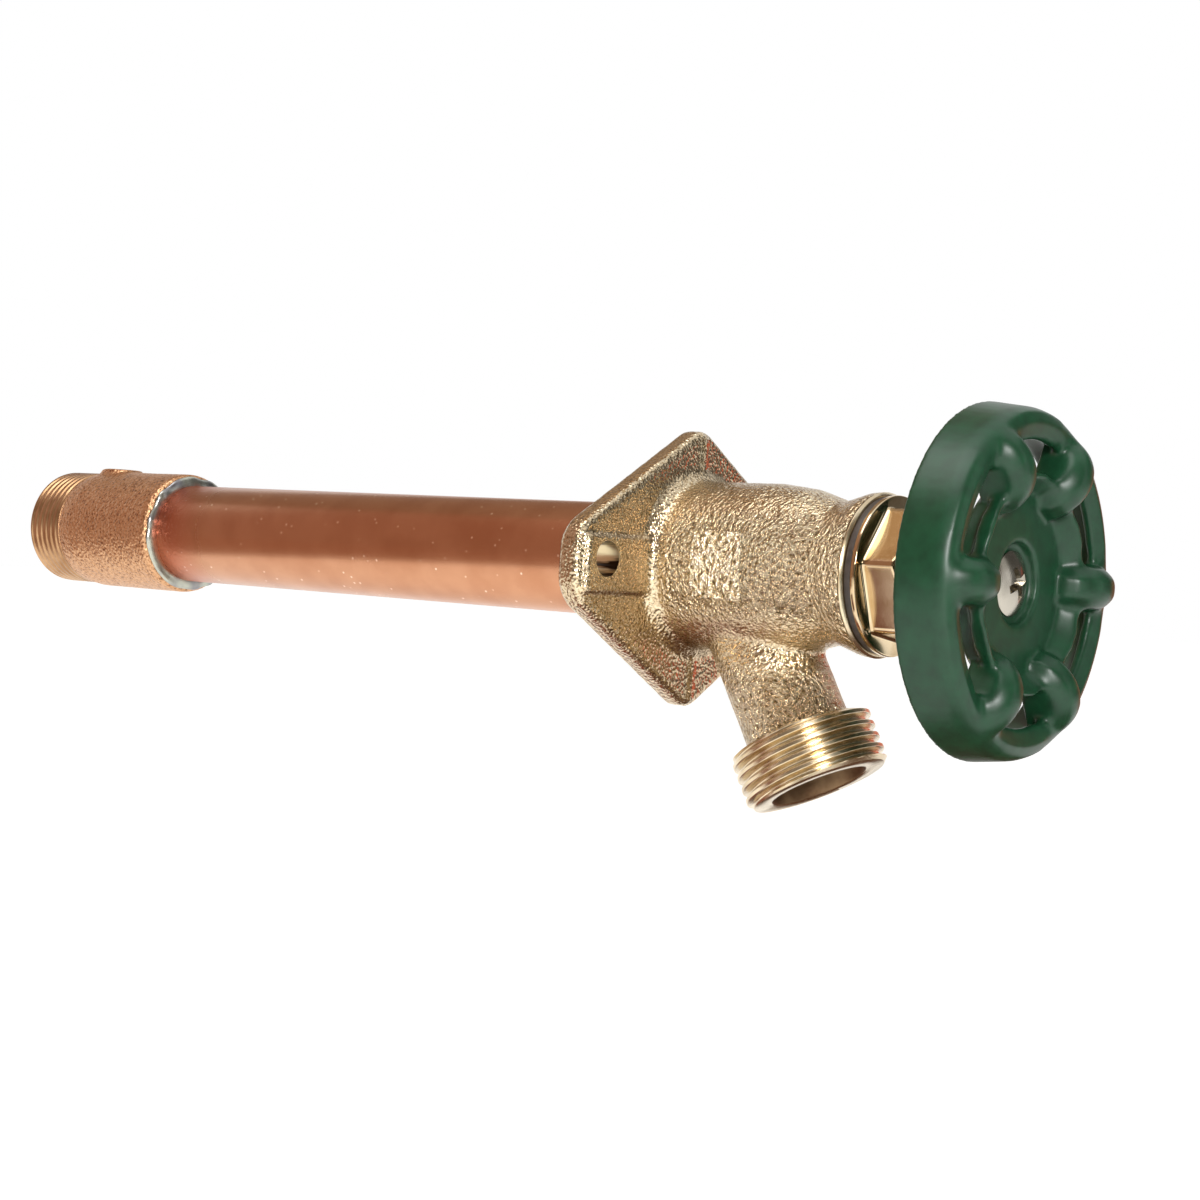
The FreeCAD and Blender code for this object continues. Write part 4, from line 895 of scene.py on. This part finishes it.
def buildBonnet(shape):
    rim, hexStart, shoulder = places["bonnetRim"], places["bonnetHex"], places["bonnetShoulder"]
    half, edge = shape["hexAcross"] / 2, shape["rimEdge"]

    def hexRadius(turns, cap):
        angle = (turns * 360 - shape["hexTurn"] + 30) % 60 - 30
        flats = half / np.cos(np.radians(angle))
        gap = np.abs(flats - cap)
        ease = np.maximum(shape["cornerEase"] - gap, 0) / shape["cornerEase"]
        return np.minimum(flats, cap) - ease ** 2 * shape["cornerEase"] / 4

    rings = [(shape["skirtBack"], steady(shape["bore"] + 1)),
             (shape["skirtBack"], steady(shape["skirt"] - 0.3)),
             (shape["skirtBack"] + 0.3, steady(shape["skirt"])),
             (rim, steady(shape["skirt"])), (rim, steady(shape["rim"] - edge))]
    for step in range(1, 6):
        angle = math.pi / 2 * step / 6
        rings.append((rim + edge * (1 - math.cos(angle)), steady(shape["rim"] - edge * (1 - math.sin(angle)))))
    rings.append((rim + edge, steady(shape["rim"])))
    for step in range(6):
        angle = math.pi / 2 * step / 5
        rings.append((hexStart - edge * (1 - math.sin(angle)),
                      steady(shape["rim"] - edge * (1 - math.cos(angle)))))
    crown = half / math.cos(math.radians(30)) - 0.2
    rings.append((hexStart, lambda turns: hexRadius(turns, crown) + 0.5))
    rings.append((hexStart + 0.25, lambda turns: hexRadius(turns, crown) + 0.12))
    for distance in np.linspace(hexStart + 0.6, shoulder, shape["hexRows"]):
        cap = min(crown, half - 0.1 + (shoulder - distance) * math.sqrt(3))
        rings.append((distance, lambda turns, c=cap: hexRadius(turns, c)))
    rings += [(shoulder, steady(shape["nose"])), (places["bonnetFront"] - 0.3, steady(shape["nose"])),
              (places["bonnetFront"], steady(shape["nose"] - 0.3)),
              (places["bonnetFront"], steady(shape["bore"]))]
    return threadedObject("bonnetTurned", rings, aroundTube, shape["segments"])


bonnet = buildBonnet(bonnetShape)
settle(bonnet, [platedBrass], "valve_body", "polished_brass", "bonnet")
gasketShape = {"outline": [(46.0, 10.9), (46.0, 14.0), (47.3, 14.0), (47.3, 10.9)], "ease": 0.25}
gasket = latheObject("bonnetGasket", easeCorners(gasketShape["outline"], gasketShape["ease"]))
settle(gasket, [rubber], "valve_body", "black_rubber", "bonnet_gasket")
print("bonnet and gasket fitted")

# Handwheel: zinc die casting, its edges rounded again by the enamel
wheelShape = {
    "voxel": 0.34, "rounds": 9, "ripple": 7.0, "rippleHeight": 0.05,
    "blendRounds": 26, "ridgeStart": (15.2, 17), "ridgeSide": (5.5, 8), "ridgeFoot": (71, 73),
}


def buildWheel(shape):
    wheel = remeshNode("handwheel", "handwheelCasting", shape["voxel"])
    points = relax(wheel.data, readPoints(wheel.data), shape["rounds"], 0.5)
    out, radius = -points[:, 1], np.hypot(points[:, 0], points[:, 2])
    angle = (np.degrees(np.arctan2(points[:, 2], points[:, 0])) + 30) % 60 - 30
    across = radius * np.sin(np.radians(np.abs(angle)))
    onRidge = easeBetween(radius, *shape["ridgeStart"]) * (1 - easeBetween(across, *shape["ridgeSide"]))
    onRidge = onRidge * easeBetween(out, *shape["ridgeFoot"])
    points = relax(wheel.data, points, shape["blendRounds"], 0.5 * onRidge)
    writePoints(wheel.data, points)
    ripple = dents(points, shape["ripple"], shape["rippleHeight"], 7)
    points = points + readNormals(wheel.data) * ripple[:, None]
    writePoints(wheel.data, points)
    return wheel


wheel = buildWheel(wheelShape)
settle(wheel, [greenEnamel], "stem_assembly", "green_enamel", "handwheel")
print("handwheel cast:", len(wheel.data.vertices), "points")

# Handle screw: oval head, cross recess pressed in cold, nickel plated
screwShape = {
    "head": 5.6, "edge": 0.45, "dome": 1.5, "shank": 1.9, "length": 8.0, "steps": 24,
    "slotLength": 6.0, "slotWidth": 1.45, "slotDepth": 1.9, "slotTaper": 0.45, "turn": 24,
}


def slotCutter(shape, top, arm):  # one arm of the cross, narrower at its foot
    half, wide = shape["slotLength"] / 2, shape["slotWidth"] / 2
    turn = math.radians(shape["turn"] + 90 * arm)
    vertices = []
    for along, across, t in ((1.15, 1.1, top + 0.4), (1 - shape["slotTaper"], 0.7, top - shape["slotDepth"])):
        for x, y in ((-half, -wide), (half, -wide), (half, wide), (-half, wide)):
            x, y = x * along, y * across
            vertices.append(((x * math.cos(turn) - y * math.sin(turn)) * mm, -t * mm,
                             (x * math.sin(turn) + y * math.cos(turn)) * mm))
    faces = [(0, 1, 2, 3), (7, 6, 5, 4), (0, 4, 5, 1), (1, 5, 6, 2), (2, 6, 7, 3), (3, 7, 4, 0)]
    cutter = meshObject("slotCutter", vertices, faces, False)
    faceOutward(cutter)
    return cutter


def buildScrew(shape):
    floor = places["recessFloor"]
    back, rim = floor - shape["length"], floor + shape["edge"]
    sphere = (shape["head"] ** 2 + shape["dome"] ** 2) / (2 * shape["dome"])
    outline = [(back, 0.02), (back, shape["shank"]), (floor, shape["shank"]), (floor, shape["head"] - 0.15),
               (floor + 0.15, shape["head"]), (rim, shape["head"])]
    for step in range(1, shape["steps"] + 1):
        radius = shape["head"] * (1 - step / shape["steps"]) + 0.02
        outline.append((rim + math.sqrt(sphere ** 2 - radius ** 2) - sphere + shape["dome"], radius))
    screw = latheObject("handleScrew", outline, 96, 40)
    bm = bmesh.new()
    bm.from_mesh(screw.data)
    bmesh.ops.holes_fill(bm, edges=bm.edges, sides=0)
    bm.to_mesh(screw.data)
    bm.free()
    for arm in range(2):
        cutAway(screw, slotCutter(shape, rim + shape["dome"], arm), "EXACT")
    screw.data.set_sharp_from_angle(angle=math.radians(32))
    return screw


screw = buildScrew(screwShape)
settle(screw, [nickelPlate], "stem_assembly", "nickel_plate", "handle_screw")
print("screw set")
